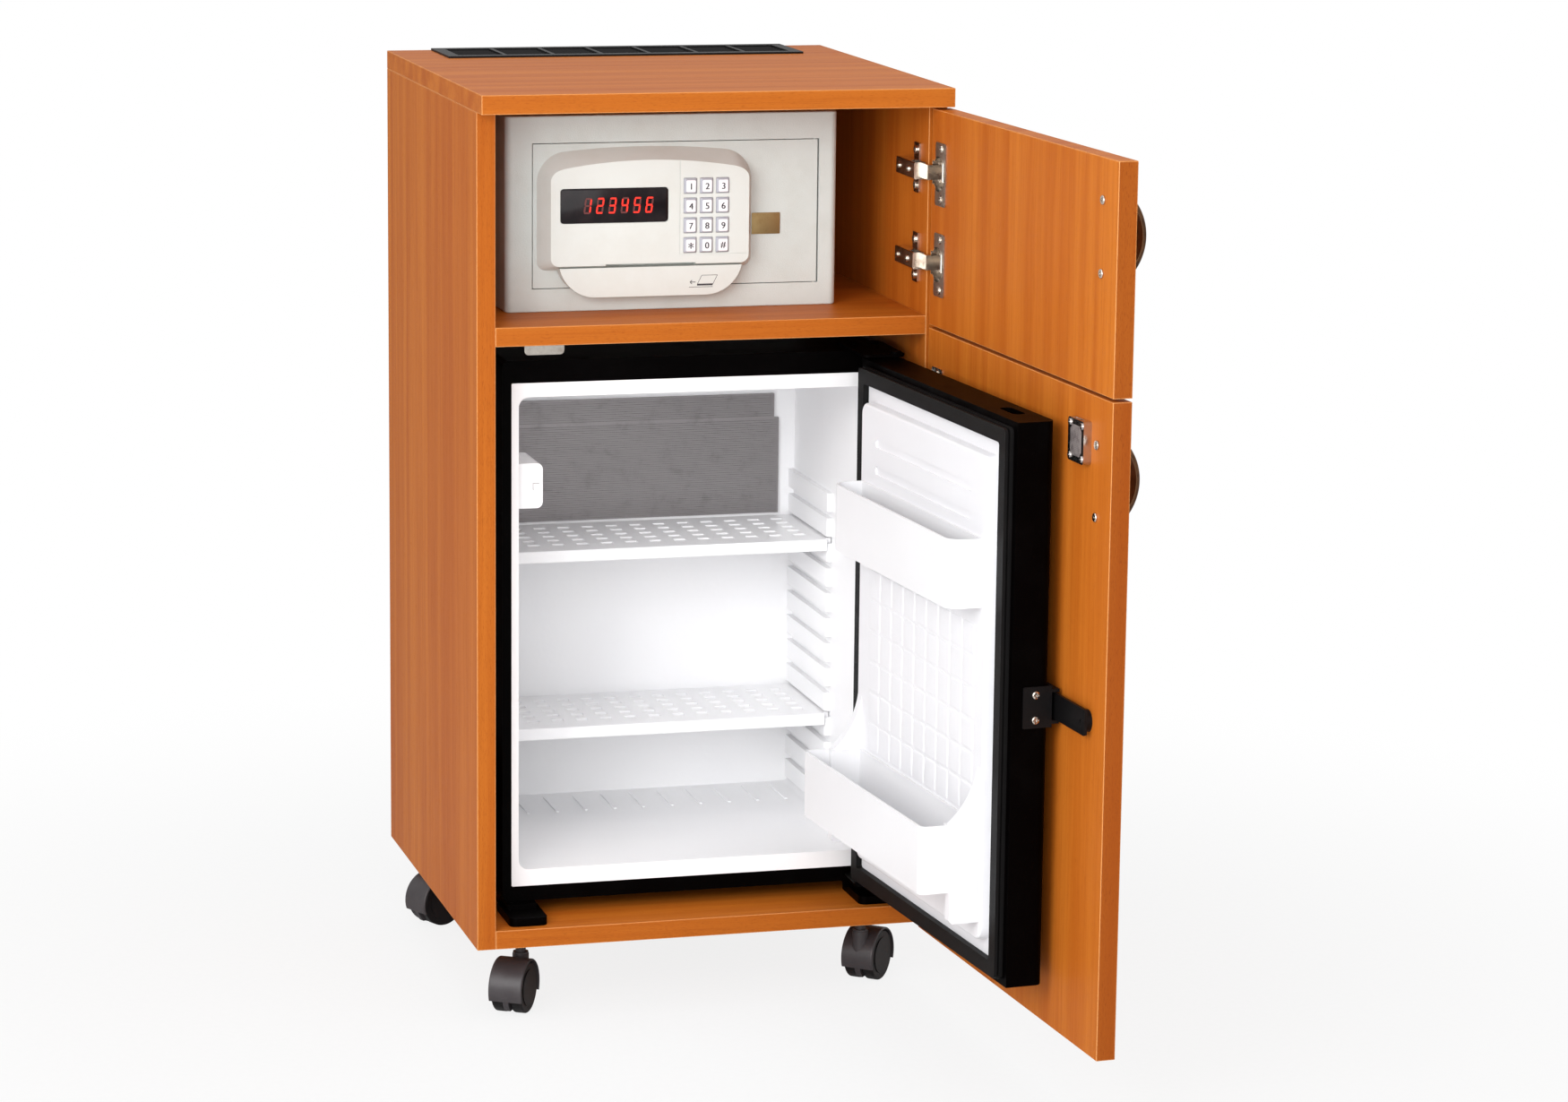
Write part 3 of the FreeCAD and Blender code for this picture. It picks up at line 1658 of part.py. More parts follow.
def rear_fins(y, top):
    hole = disc(unit_tube + seat_gap, vec(-boiler_x, y, top), RIGHT, 2 * boiler_x)
    pitch = 2 * rear_fin_half / (fin_rows - 1)
    front = casing_rear + unit_gap / 2
    fins = []
    for place in range(fin_rows):
        x = -rear_fin_half + place * pitch
        xs = (x - rear_fin_thick / 2, x + rear_fin_thick / 2)
        fin = block(xs, (front, front + rear_fin_deep), (rear_fin_low, rear_fin_low + rear_fin_high))
        fins.append(fin.cut(hole))
    return fins


def unit_brackets(tank, top):
    half = unit_bracket_wide / 2
    shapes = []
    for x in (-tank_half / 4, tank_half * 0.7):
        ys = (casing_rear, casing_rear + unit_gap + tank_radius)
        shapes.append(block((x - half, x + half), ys, (tank_z - half, tank_z + half)).cut(tank))
    for x in (-rear_fin_half / 2, rear_fin_half / 2):
        ys = (casing_rear, casing_rear + unit_gap / 2)
        shapes.append(block((x - half, x + half), ys, (top - 2 * half, top + 2 * half)))
    return shapes


def cooling_unit():
    y = casing_rear + unit_gap + unit_tube
    top = rear_fin_low + rear_fin_high / 2
    tank = rear_tank()
    pipe = bent_pipe(coil_points(y, top))
    feed_points = [vec(tank_half, y, tank_z), vec(boiler_x, y, tank_z), vec(boiler_x, y, boiler_low)]
    feed = bent_pipe(feed_points)
    pipe[0] = pipe[0].cut(tank)
    boiler_y = casing_rear + unit_gap + boiler_radius
    boiler = disc(boiler_radius, vec(boiler_x, boiler_y, boiler_low), UP, boiler_high)
    shapes = pipe + feed + [tank, boiler]
    return Part.makeCompound(shapes + rear_fins(y, top) + unit_brackets(tank, top))


def power_inlet():
    xs = (inlet_x - inlet_half_wide, inlet_x + inlet_half_wide)
    zs = (inlet_z - inlet_half_high, inlet_z + inlet_half_high)
    box = block(xs, (casing_rear, casing_rear + inlet_deep), zs)
    box = rounded(box, BACK, small_round * 2)
    rear = casing_rear + inlet_deep
    hollow = block(
        (inlet_x - inlet_hollow_half_wide, inlet_x + inlet_hollow_half_wide),
        (rear - inlet_hollow_deep, rear + overrun),
        (inlet_z - inlet_hollow_half_high, inlet_z + inlet_hollow_half_high),
    )
    blades = []
    for place in (-1, 0, 1):
        x = inlet_x + place * blade_pitch
        z = inlet_z + (blade_half_high if place == 0 else -blade_half_high / 2)
        blades.append(
            block(
                (x - blade_half_wide, x + blade_half_wide),
                (rear - inlet_hollow_deep - overrun, rear - inlet_hollow_deep + blade_long),
                (z - blade_half_high, z + blade_half_high),
            )
        )
    return fused([box.cut(rounded(hollow, BACK, small_round))] + blades)


# Safe
def safe_body():
    low = shelf_top
    top = shelf_top + safe_high
    outer = block((safe_left, safe_right), (safe_front, safe_rear), (low, top))
    outer = rounded(outer, UP, safe_round)
    face = []
    for edge in outer.Edges:
        if edge.BoundBox.YMax < safe_front + seat_gap:
            face.append(edge)
    outer = outer.makeFillet(small_round, face)
    space = block(
        (safe_left + safe_wall, safe_right - safe_wall),
        (safe_front + safe_frame, safe_rear - safe_wall),
        (low + safe_wall, top - safe_wall),
    )
    mouth = block(
        (safe_door_left - safe_gap, safe_door_right + safe_hinge_gap),
        (safe_front - overrun, safe_front + safe_frame + overrun),
        (safe_door_low - safe_gap, safe_door_top + safe_gap),
    )
    pin_low = safe_door_low - safe_pin_long - running_gap
    pin_high = safe_door_top + safe_pin_long + running_gap
    bore = disc(safe_pin_radius + pin_gap, vec(safe_axis[0], safe_axis[1], pin_low), UP, pin_high - pin_low)
    return outer.cut(space).cut(mouth).cut(bore)


def safe_door():
    plate_ys = (safe_front, safe_front + safe_door_thick)
    plate = block((safe_door_left, safe_door_right), plate_ys, (safe_door_low, safe_door_top))
    pin = disc(
        safe_pin_radius,
        vec(safe_axis[0], safe_axis[1], safe_door_low - safe_pin_long),
        UP,
        safe_door_top - safe_door_low + 2 * safe_pin_long,
    )
    rear = safe_front + safe_door_thick
    box = block((safe_box_left, safe_box_right), (rear, rear + safe_box_deep), (safe_box_low, safe_box_top))
    hollow = block(
        (safe_box_left + safe_box_wall, safe_box_right - safe_box_wall),
        (rear, rear + safe_box_deep - safe_box_wall),
        (safe_box_low + safe_box_wall, safe_box_top - safe_box_wall),
    )
    body = fused([plate, pin, box.cut(hollow)])
    cuts = []
    for z in safe_bolt_heights:
        start = vec(safe_box_left - overrun, safe_bolt_y, z)
        cuts.append(disc(safe_bolt_radius + button_gap, start, RIGHT, safe_box_wall + 2 * overrun))
    return body.cut(Part.makeCompound(cuts))


def safe_bolts():
    parts = []
    for z in safe_bolt_heights:
        bolt = disc(safe_bolt_radius, vec(safe_bolt_tip, safe_bolt_y, z), RIGHT, safe_bolt_long)
        tip = []
        for edge in bolt.Edges:
            if edge.BoundBox.XMax < safe_bolt_tip + seat_gap:
                tip.append(edge)
        parts.append(bolt.makeFillet(small_round, tip))
    bar_right = safe_bolt_tip + safe_bolt_long
    parts.append(
        block(
            (bar_right - safe_bar_wide, bar_right),
            (safe_bolt_y - safe_bar_thick, safe_bolt_y + safe_bar_thick),
            (safe_bolt_heights[0] - safe_bolt_radius, safe_bolt_heights[1] + safe_bolt_radius),
        )
    )
    return fused(parts)


def shoulder(side, crown, slope):
    # Poles of a bend that leaves the upright side straight up and meets the crown along its slope
    half_rise = (crown.z - side.z) * 0.55
    half_run = (crown.x - side.x) * 0.55
    leaving = side + vec(0, 0, half_rise)
    meeting = crown - vec(half_run, 0, abs(half_run) * slope)
    return [side, leaving, meeting, crown]


def bent_edge(poles):
    curve = Part.BezierCurve()
    curve.setPoles(poles)
    return curve.toShape()


def arched_wire(y, left, right, low, side_top, crown, run, shoulder_top, corner):
    bend = 1 - math.sqrt(0.5)
    half = (right - left) / 2 - run
    height = crown - shoulder_top
    slope = 2 * half * height / (half * half - height * height)
    points = {
        "low_left": vec(left + corner, y, low),
        "low_right": vec(right - corner, y, low),
        "right_low": vec(right, y, low + corner),
        "right_top": vec(right, y, side_top),
        "crown_right": vec(right - run, y, shoulder_top),
        "crown_left": vec(left + run, y, shoulder_top),
        "left_top": vec(left, y, side_top),
        "left_low": vec(left, y, low + corner),
    }
    right_bend = vec(right - corner * bend, y, low + corner * bend)
    top = vec((left + right) / 2, y, crown)
    left_bend = vec(left + corner * bend, y, low + corner * bend)
    edges = [
        Part.LineSegment(points["low_left"], points["low_right"]).toShape(),
        Part.Arc(points["low_right"], right_bend, points["right_low"]).toShape(),
        Part.LineSegment(points["right_low"], points["right_top"]).toShape(),
        bent_edge(shoulder(points["right_top"], points["crown_right"], slope)),
        Part.Arc(points["crown_right"], top, points["crown_left"]).toShape(),
        bent_edge(shoulder(points["left_top"], points["crown_left"], slope)[::-1]),
        Part.LineSegment(points["left_top"], points["left_low"]).toShape(),
        Part.Arc(points["left_low"], left_bend, points["low_left"]).toShape(),
    ]
    return Part.Wire(edges)


def panel_lip():
    y = lip_face
    bend = 1 - math.sqrt(0.5)
    drop = lip_top - lip_low
    points = [
        vec(lip_left, y, lip_top),
        vec(lip_right, y, lip_top),
        vec(lip_right - lip_run, y, lip_low),
        vec(lip_left + lip_run, y, lip_low),
    ]
    right_bend = vec(lip_right - lip_run * bend, y, lip_low + drop * 0.35)
    left_bend = vec(lip_left + lip_run * bend, y, lip_low + drop * 0.35)
    edges = [
        Part.LineSegment(points[0], points[1]).toShape(),
        Part.Arc(points[1], right_bend, points[2]).toShape(),
        Part.LineSegment(points[2], points[3]).toShape(),
        Part.Arc(points[3], left_bend, points[0]).toShape(),
    ]
    return Part.Face(Part.Wire(edges)).extrude(BACK * (safe_front - lip_back_gap - lip_face))


def key_centres():
    centres = []
    for row in range(4):
        for column in range(3):
            centres.append((key_first_x + column * key_pitch_x, key_top_z - row * key_pitch_z))
    return centres


def key_block(centre, grow, ys):
    x, z = centre
    wide = key_wide / 2 + grow
    high = key_high / 2 + grow
    return rounded(block((x - wide, x + wide), ys, (z - high, z + high)), BACK, key_corner)


def safe_control_panel():
    base = arched_wire(
        safe_front, panel_left, panel_right, panel_low, panel_side_top, panel_crown,
        panel_shoulder_run, panel_shoulder_top, panel_corner,
    )
    face = arched_wire(
        panel_face, face_left, face_right, face_low, face_side_top, face_crown,
        face_shoulder_run, face_shoulder_top, face_corner,
    )
    body = Part.makeLoft([base, face], True, True)
    cuts = []
    slot = block(
        (card_x - card_half, card_x + card_half), (panel_face - overrun, panel_face + card_deep),
        (face_low - overrun * 2, face_low + card_gap),
    )
    cuts.append(slot)
    window_ys = (panel_face - overrun, panel_face + window_deep)
    window = block((window_left, window_right), window_ys, (window_low, window_top))
    cuts.append(rounded(window, BACK, window_corner))
    for centre in key_centres():
        cuts.append(key_block(centre, key_gap, (panel_face - overrun, panel_face + key_pocket)))
    ys = (panel_face - overrun, panel_face + pad_deep)
    cuts.append(block((pad_left, pad_left + pad_groove), ys, (pad_low, face_crown - pad_deep)))
    cuts.append(block((pad_left, face_right - small_round), ys, (pad_low, pad_low + pad_groove)))
    lip = panel_lip()
    bridge = block(
        (lip_left + lip_run / 2, lip_right - lip_run / 2),
        (panel_face + card_deep, safe_front - lip_back_gap),
        (lip_top - overrun, face_low + bridge_lap),
    )
    return fused([body.cut(Part.makeCompound(cuts)), lip, bridge])


def safe_key(centre):
    key = key_block(centre, 0, (panel_face - key_proud, panel_face + key_sunk))
    rim = []
    for edge in key.Edges:
        if edge.BoundBox.YMax < panel_face - key_proud + seat_gap:
            rim.append(edge)
    return key.makeFillet(key_dish, rim)


# Castors
def castor_local(shape, x, y, turn):
    shape = shape.copy()
    shape.rotate(vec(0, 0, 0), UP, turn)
    shape.translate(vec(x, y, 0))
    return shape


def along_axle(radius, span):
    return disc(radius, vec(castor_trail, span[0], castor_wheel_radius), BACK, span[1] - span[0])


def castor_housing():
    far = hood_half + overrun
    reach = hood_inner + hood_wall + overrun
    around = (castor_trail - reach, castor_trail + reach)
    outer = along_axle(hood_inner + hood_wall, (-hood_half, hood_half))
    outer = outer.makeFillet(small_round, round_edges(outer))
    hood = outer.cut(along_axle(hood_inner, (-far, far)))
    hood = hood.cut(block(around, (-far, far), (-reach, hood_skirt)))
    web = along_axle(hood_inner + hood_wall / 2, (-web_half, web_half))
    web_low = (-reach, castor_wheel_radius - web_radius)
    web = web.cut(block(around, (-web_half - overrun, web_half + overrun), web_low))
    boss_top = castor_wheel_radius + hood_inner + hood_wall
    boss = disc(stem_boss, vec(0, 0, castor_wheel_radius), UP, boss_top - castor_wheel_radius)
    boss = boss.cut(along_axle(hood_inner, (-far, -web_half)))
    boss = boss.cut(along_axle(hood_inner, (web_half, far)))
    neck = disc(stem_ring, vec(0, 0, boss_top - overrun), UP, stem_ring_high)
    stem_long = castor_height + stem_sunk - boss_top + overrun
    stem = disc(stem_radius, vec(0, 0, boss_top - overrun), UP, stem_long)
    body = fused([hood, web, boss, neck, stem])
    return body.cut(along_axle(axle_radius + pin_gap, (-web_half - overrun, web_half + overrun)))


def castor_wheels():
    shapes = [along_axle(axle_radius, (-castor_wheel_in, castor_wheel_in))]
    for side in (-1, 1):
        wheel = along_axle(castor_wheel_radius, sorted((side * castor_wheel_in, side * castor_wheel_out)))
        shapes.append(wheel.makeFillet(tyre_round, round_edges(wheel)))
        hub_span = sorted((side * castor_wheel_out, side * (castor_wheel_out + hub_proud)))
        shapes.append(along_axle(hub_radius, hub_span))
    return Part.makeCompound(shapes)


# Everything is built with its doors shut, then the doors swing to the shown pose
def wood_turned(shape):
    return turned(shape, wood_axis, wood_open_angle)


def cold_turned(shape):
    return turned(shape, cold_axis, cold_open_angle)


save("top_panel", top_panel())
save("left_side_panel", side_panel(-1))
save("right_side_panel", side_panel(1))
save("bottom_panel", bottom_panel())
save("middle_shelf", middle_shelf())
save("rear_panels", rear_panels())
save("vent_grille", vent_grille())
save("hinge_arms", hinge_arms())
save("strike_plate", strike_plate())
save("fridge_casing", fridge_casing())
save("fridge_liner", fridge_liner())
save("insulation_foam", insulation_foam())
save("evaporator_plate", evaporator_plate())
save("thermostat_box", thermostat_box())
save("fridge_shelves", fridge_shelves())
save("fridge_brackets", Part.makeCompound([fridge_brackets(), fridge_feet()]))
save("cooling_unit", Part.makeCompound([cooling_unit(), power_inlet()]))
save("safe_body", safe_body())

low_door_hinges = hinge_heights()[:2]
up_door_hinges = hinge_heights()[2:]
upper_zs = (upper_door_bottom, upper_door_top)
lower_zs = (lower_door_bottom, lower_door_top)
save("upper_door_panel", wood_turned(door_panel(upper_zs, up_door_hinges, upper_handle_height)))
save("upper_hinge_cups", wood_turned(Part.makeCompound([hinge_cup(z) for z in up_door_hinges])))
save("upper_handle", wood_turned(bow_handle(upper_handle_height)))
save("upper_door_screws", wood_turned(door_screws(upper_handle_height, up_door_hinges)))
lower_panel = door_panel(lower_zs, low_door_hinges, lower_handle_height).cut(lock_holes())
save("lower_door_panel", wood_turned(lower_panel))
save("lower_hinge_cups", wood_turned(Part.makeCompound([hinge_cup(z) for z in low_door_hinges])))
save("lower_handle", wood_turned(bow_handle(lower_handle_height)))
save("lower_door_screws", wood_turned(door_screws(lower_handle_height, low_door_hinges)))
save("lock_case", wood_turned(lock_case()))
save("lock_bolt", wood_turned(lock_bolt()))
save("lock_plug", wood_turned(lock_plug()))
save("coupling_strip", wood_turned(coupling_strip()))

save("fridge_door_shell", cold_turned(fridge_door_shell()))
save("fridge_door_foam", cold_turned(fridge_door_foam()))
save("fridge_door_liner", cold_turned(fridge_door_liner()))
save("fridge_door_gasket", cold_turned(fridge_door_gasket()))
save("bottle_bins", cold_turned(bottle_bins()))
save("coupling_bracket", cold_turned(coupling_bracket()))
save("light_switch_button", light_switch_button())

save("safe_door", safe_door())
save("safe_control_panel", safe_control_panel())
save("safe_bolts", safe_bolts())
key_names = ("1", "2", "3", "4", "5", "6", "7", "8", "9", "star", "0", "hash")
for name, centre in zip(key_names, key_centres()):
    save("safe_key_" + name, safe_key(centre))

housing = castor_housing()
wheels = castor_wheels()
for name, x, y, turn in castors:
    save("castor_" + name + "_housing", castor_local(housing, x, y, turn))
    save("castor_" + name + "_wheels", castor_local(wheels, x, y, turn))
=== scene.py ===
"""Finishes, small pieces and stage of a wooden minibar cabinet with a cold box and a safe.

Lengths are in metres, x to the right, y to the back and z up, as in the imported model.
"""

import math

import bmesh
import bpy
from mathutils import Matrix, Vector


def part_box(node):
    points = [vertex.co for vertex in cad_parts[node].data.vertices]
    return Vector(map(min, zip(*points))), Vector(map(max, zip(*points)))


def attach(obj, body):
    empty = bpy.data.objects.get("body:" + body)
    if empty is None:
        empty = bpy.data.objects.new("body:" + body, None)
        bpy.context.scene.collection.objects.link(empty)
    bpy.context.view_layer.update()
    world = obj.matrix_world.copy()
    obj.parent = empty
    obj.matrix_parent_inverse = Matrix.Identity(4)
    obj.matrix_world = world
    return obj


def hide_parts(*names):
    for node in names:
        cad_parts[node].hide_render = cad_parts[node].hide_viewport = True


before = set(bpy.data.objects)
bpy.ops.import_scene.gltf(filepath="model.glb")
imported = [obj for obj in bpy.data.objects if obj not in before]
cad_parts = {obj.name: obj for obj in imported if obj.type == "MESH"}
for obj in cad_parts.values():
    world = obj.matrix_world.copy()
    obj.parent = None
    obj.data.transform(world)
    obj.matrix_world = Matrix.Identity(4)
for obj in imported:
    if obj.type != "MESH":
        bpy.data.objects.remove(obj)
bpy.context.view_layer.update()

bl_info = {
    "name": "Minibar Cabinet",
    "version": (1, 0, 0),
    "blender": (4, 5, 0),
    "location": "View3D > Sidebar > Minibar",
    "description": "Finishes, small pieces and stage of a minibar cabinet",
    "category": "Object",
}

MM = 0.001

# The doors are modelled closed and stand open at rest: hinge line, then the turn
WOOD_DOOR = ((220.5 * MM, -12.0 * MM), 93.2)
COLD_DOOR = ((184.0 * MM, 13.0 * MM), 94.4)
PANEL_FACE = 70.0 * MM
SAFE_DOOR_FACE = 90.0 * MM
DOOR_LINER_FACE = 57.0 * MM
KEY_ORDER = ("1", "2", "3", "4", "5", "6", "7", "8", "9", "star", "0", "hash")
KEY_SIGNS = {"star": "*", "hash": "#"}


def tint(red, green, blue):
    """A colour picked on a screen, 0 to 255 each, as Blender's linear colour."""
    made = []
    for value in (red, green, blue):
        share = value / 255
        made.append(share / 12.92 if share <= 0.04045 else ((share + 0.055) / 1.055) ** 2.4)
    return (*made, 1.0)


class Wire:
    """An output socket, on which sums can be written."""

    def __init__(self, sheet, socket):
        self.sheet = sheet
        self.socket = socket

    def joined(self, operation, first, second):
        return self.sheet.node("ShaderNodeMath", {"operation": operation}, {0: first, 1: second})

    def __add__(self, other):
        return self.joined("ADD", self, other)

    def __radd__(self, other):
        return self.joined("ADD", other, self)

    def __sub__(self, other):
        return self.joined("SUBTRACT", self, other)

    def __rsub__(self, other):
        return self.joined("SUBTRACT", other, self)

    def __mul__(self, other):
        return self.joined("MULTIPLY", self, other)

    def __rmul__(self, other):
        return self.joined("MULTIPLY", other, self)

    def __pow__(self, other):
        return self.joined("POWER", self, other)

    def above(self, low, high):
        """0 below low, 1 above high and a smooth step between them."""
        settings = {"interpolation_type": "SMOOTHSTEP"}
        return self.sheet.node("ShaderNodeMapRange", settings, {0: self, 1: low, 2: high})


class Sheet:
    """A node tree of shaders."""

    def __init__(self, tree):
        self.tree = tree
        tree.nodes.clear()

    def node(self, kind, settings=None, sockets=None, output=0):
        made = self.tree.nodes.new(kind)
        for name, value in (settings or {}).items():
            setattr(made, name, value)
        for key, value in (sockets or {}).items():
            if isinstance(value, Wire):
                self.tree.links.new(value.socket, made.inputs[key])
            else:
                made.inputs[key].default_value = value
        return Wire(self, made.outputs[output]) if made.outputs else made

    def spot(self, scale=(1, 1, 1), shift=(0, 0, 0)):
        """Object coordinates in metres, moved and then stretched."""
        here = self.node("ShaderNodeTexCoord", output=3)
        return self.stretched(here, scale, shift)

    def stretched(self, vector, scale, shift=(0, 0, 0)):
        return self.node("ShaderNodeMapping", None, {"Vector": vector, "Scale": scale, "Location": shift})

    def noise(self, vector, scale=1.0, detail=2.0, roughness=0.5, distortion=0.0):
        sockets = {"Vector": vector, "Scale": scale, "Detail": detail, "Roughness": roughness}
        return self.node("ShaderNodeTexNoise", None, sockets | {"Distortion": distortion})

    def mix(self, share, first, second, mode="MIX"):
        settings = {"data_type": "RGBA", "blend_type": mode}
        return self.node("ShaderNodeMix", settings, {0: share, 6: first, 7: second}, output=2)

    def bump(self, height, distance, strength=1.0):
        sockets = {"Height": height, "Distance": distance, "Strength": strength}
        return self.node("ShaderNodeBump", None, sockets)

    def corners(self, radius):
        """0 on flat places and more where the surface turns a corner."""
        rounded = self.node("ShaderNodeBevel", {"samples": 4}, {"Radius": radius})
        plain = self.node("ShaderNodeNewGeometry", output=1)
        settings = {"operation": "DOT_PRODUCT"}
        return 1 - self.node("ShaderNodeVectorMath", settings, {0: rounded, 1: plain}, output=1)

    def facing(self, axis):
        """The share of the surface's own direction along an axis of the object."""
        way = self.node("ShaderNodeTexCoord", output=1)
        return self.node("ShaderNodeSeparateXYZ", None, {0: way}, output="XYZ".index(axis))


class Finish(Sheet):
    """A material with one Principled shader."""

    def __init__(self, name):
        self.material = bpy.data.materials.new(name)
        self.material.use_nodes = True
        super().__init__(self.material.node_tree)

    def surface(self, **sockets):
        named = {key.replace("_", " "): value for key, value in sockets.items()}
        shader = self.node("ShaderNodeBsdfPrincipled", None, named)
        self.node("ShaderNodeOutputMaterial", None, {"Surface": shader})
        return self.material


def dressed(nodes, material):
    """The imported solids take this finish."""
    for name in nodes:
        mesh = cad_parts[name].data
        mesh.materials.clear()
        mesh.materials.append(material)


# Finishes


def laminate(name, along, shift, front_shade):
    """Printed beech, its grain along one axis, with painted shade on the faces that look to the front and a
    painted highlight on the corners.
    """
    wood = bpy.context.scene.minibar_wood
    sheet = Finish(name)

    def grain(across, length):
        scale = [1 / across] * 3
        scale["XYZ".index(along)] = 1 / length
        return scale

    here = sheet.spot(shift=shift)
    sway = sheet.noise(sheet.stretched(here, grain(0.05, 0.3)), detail=1.0)
    swayed = sheet.node("ShaderNodeCombineXYZ", None, {0: sway, 1: sway, 2: sway})
    pushed = sheet.node(
        "ShaderNodeVectorMath",
        {"operation": "MULTIPLY_ADD"},
        {0: swayed, 1: (wood.sway,) * 3, 2: here},
    )
    bands = sheet.noise(sheet.stretched(pushed, grain(wood.band, 1.1)), detail=2.0, roughness=0.55)
    stripes = sheet.noise(sheet.stretched(pushed, grain(0.0036, 0.45)), detail=2.0)
    fibres = sheet.noise(sheet.stretched(pushed, grain(0.0011, 0.07)), detail=2.0, roughness=0.6)
    pores = sheet.noise(sheet.stretched(pushed, grain(0.0007, 0.009)), detail=1.0).above(0.66, 0.78)
    flecks = sheet.noise(sheet.stretched(pushed, grain(0.0006, 0.0045)), detail=1.0).above(0.56, 0.74)
    clouds = sheet.noise(here, scale=9.0, detail=1.0)
    # Faces that look to the front: they take painted shade in the pore colour, with flecks in it.
    front = (0 - sheet.facing("Y")).above(0.93, 0.97)
    colour = sheet.mix(bands.above(0.28, 0.74), tuple(wood.light), tuple(wood.deep))
    colour = sheet.mix(stripes.above(0.42, 0.74) * 0.4, colour, tuple(wood.deep))
    colour = sheet.mix(fibres.above(0.5, 0.8) * 0.3, colour, tuple(wood.pore))
    colour = sheet.mix(fibres.above(0.55, 0.25) * 0.16, colour, tuple(wood.light))
    colour = sheet.mix(pores * 0.4, colour, tuple(wood.pore))
    colour = sheet.mix(clouds.above(0.35, 0.75) * 0.12, colour, tuple(wood.light))
    # Painted shade on the faces that look to the front.
    colour = sheet.mix(front * (front_shade + flecks * 0.3), colour, tuple(wood.pore))
    # Painted highlight: a pale colour where the surface turns a corner.
    colour = sheet.mix(sheet.corners(0.0013).above(0.015, 0.07) * 0.8, colour, tuple(wood.corner))
    return sheet.surface(
        Base_Color=colour,
        Roughness=0.4 + fibres * 0.12 + pores * 0.1,
        Normal=sheet.bump(fibres * 0.6 - pores, 0.00008),
        Specular_IOR_Level=0.08,
    )


def gloss_plastic(name, colour, shade, roughness, waviness=0.00012):
    """Moulded sheet: faint clouding, orange peel and fine scuffs."""
    sheet = Finish(name)
    clouds = sheet.noise(sheet.spot(), scale=7.0, detail=3.0)
    peel = sheet.noise(sheet.spot(), scale=190.0, detail=1.0)
    scuffs = sheet.noise(sheet.spot((160, 160, 1400)), detail=3.0, roughness=0.7).above(0.62, 0.8)
    return sheet.surface(
        Base_Color=sheet.mix(clouds.above(0.2, 0.8), colour, shade),
        Roughness=roughness + clouds * 0.08 + scuffs * 0.06,
        Normal=sheet.bump(peel, waviness),
        Specular_IOR_Level=0.4,
    )


def grained(name, colour, shade, roughness, grain_size, depth, specular=0.4):
    """Powder coat or moulded plastic with a fine grain."""
    sheet = Finish(name)
    here = sheet.spot()
    grain = sheet.noise(here, scale=1 / grain_size, detail=2.0, roughness=0.6)
    dust = sheet.noise(here, scale=23.0, detail=4.0, roughness=0.65)
    return sheet.surface(
        Base_Color=sheet.mix(dust.above(0.4, 0.75), colour, shade),
        Roughness=roughness + grain * 0.1 + dust.above(0.5, 0.8) * 0.08,
        Specular_IOR_Level=specular,
        Normal=sheet.bump(grain, depth),
    )


def brushed(name, colour, shade, roughness, lines, depth=0.00004):
    """Metal with fine lines along one axis, handling marks and a little tarnish."""
    sheet = Finish(name)
    strokes = sheet.noise(sheet.spot(lines), detail=3.0, roughness=0.7)
    marks = sheet.noise(sheet.spot(), scale=60.0, detail=4.0, roughness=0.7)
    return sheet.surface(
        Base_Color=sheet.mix(marks.above(0.42, 0.72), colour, shade),
        Roughness=roughness + strokes * 0.16 + marks.above(0.55, 0.75) * 0.14,
        Metallic=1.0,
        Normal=sheet.bump(strokes, depth),
    )


def worn_bronze(name):
    """Brown metal lacquer, rubbed paler where fingers and edges meet."""
    sheet = Finish(name)
    here = sheet.spot()
    blotch = sheet.noise(here, scale=90.0, detail=4.0, roughness=0.6)
    edge = sheet.corners(0.0012).above(0.01, 0.12) * blotch.above(0.35, 0.6)
    colour = sheet.mix(blotch.above(0.35, 0.7), tint(104, 72, 47), tint(66, 44, 29))
    return sheet.surface(
        Base_Color=sheet.mix(edge, colour, tint(168, 128, 88)),
        Roughness=0.36 + blotch * 0.16,
        Metallic=0.75,
        Normal=sheet.bump(blotch, 0.00005),
    )


def cell_foam(name):
    """Rigid foam with small cells."""
    sheet = Finish(name)
    cells = sheet.node("ShaderNodeTexVoronoi", None, {"Vector": sheet.spot(), "Scale": 900.0})
    clouds = sheet.noise(sheet.spot(), scale=30.0, detail=3.0)
    return sheet.surface(
        Base_Color=sheet.mix(clouds.above(0.3, 0.7), tint(232, 214, 158), tint(205, 180, 118)),
        Roughness=0.85 + clouds * 0.1,
        Normal=sheet.bump(cells, 0.0004),
    )


def glass_black(name):
    """Smoked cover of the display."""
    sheet = Finish(name)
    haze = sheet.noise(sheet.spot(), scale=70.0, detail=4.0)
    return sheet.surface(
        Base_Color=sheet.mix(haze.above(0.4, 0.7), tint(22, 17, 20), tint(34, 26, 28)),
        Roughness=0.08 + haze * 0.1,
        Specular_IOR_Level=0.16,
    )


def key_plastic(name, face, flank_shade):
    """White caps, with painted shade in grey on their sloping sides."""
    sheet = Finish(name)
    clouds = sheet.noise(sheet.spot(), scale=40.0, detail=2.0)
    # Faces that do not look to the front take the painted shade colour.
    ahead = (0 - sheet.facing("Y")).above(0.82, 0.96)
    return sheet.surface(
        Base_Color=sheet.mix(ahead, flank_shade, face),
        Roughness=0.3 + clouds * 0.08,
        Specular_IOR_Level=0.4,
    )


def lit(name, colour, glow, strength):
    """Segments of the display: the lit ones glow, and the unlit ones are given a faint painted glow."""
    sheet = Finish(name)
    cells = sheet.noise(sheet.spot(), scale=1500.0, detail=1.0)
    return sheet.surface(
        Base_Color=colour,
        Emission_Color=sheet.mix(cells.above(0.3, 0.7), glow, colour),
        Emission_Strength=strength,
        Roughness=0.4,
    )


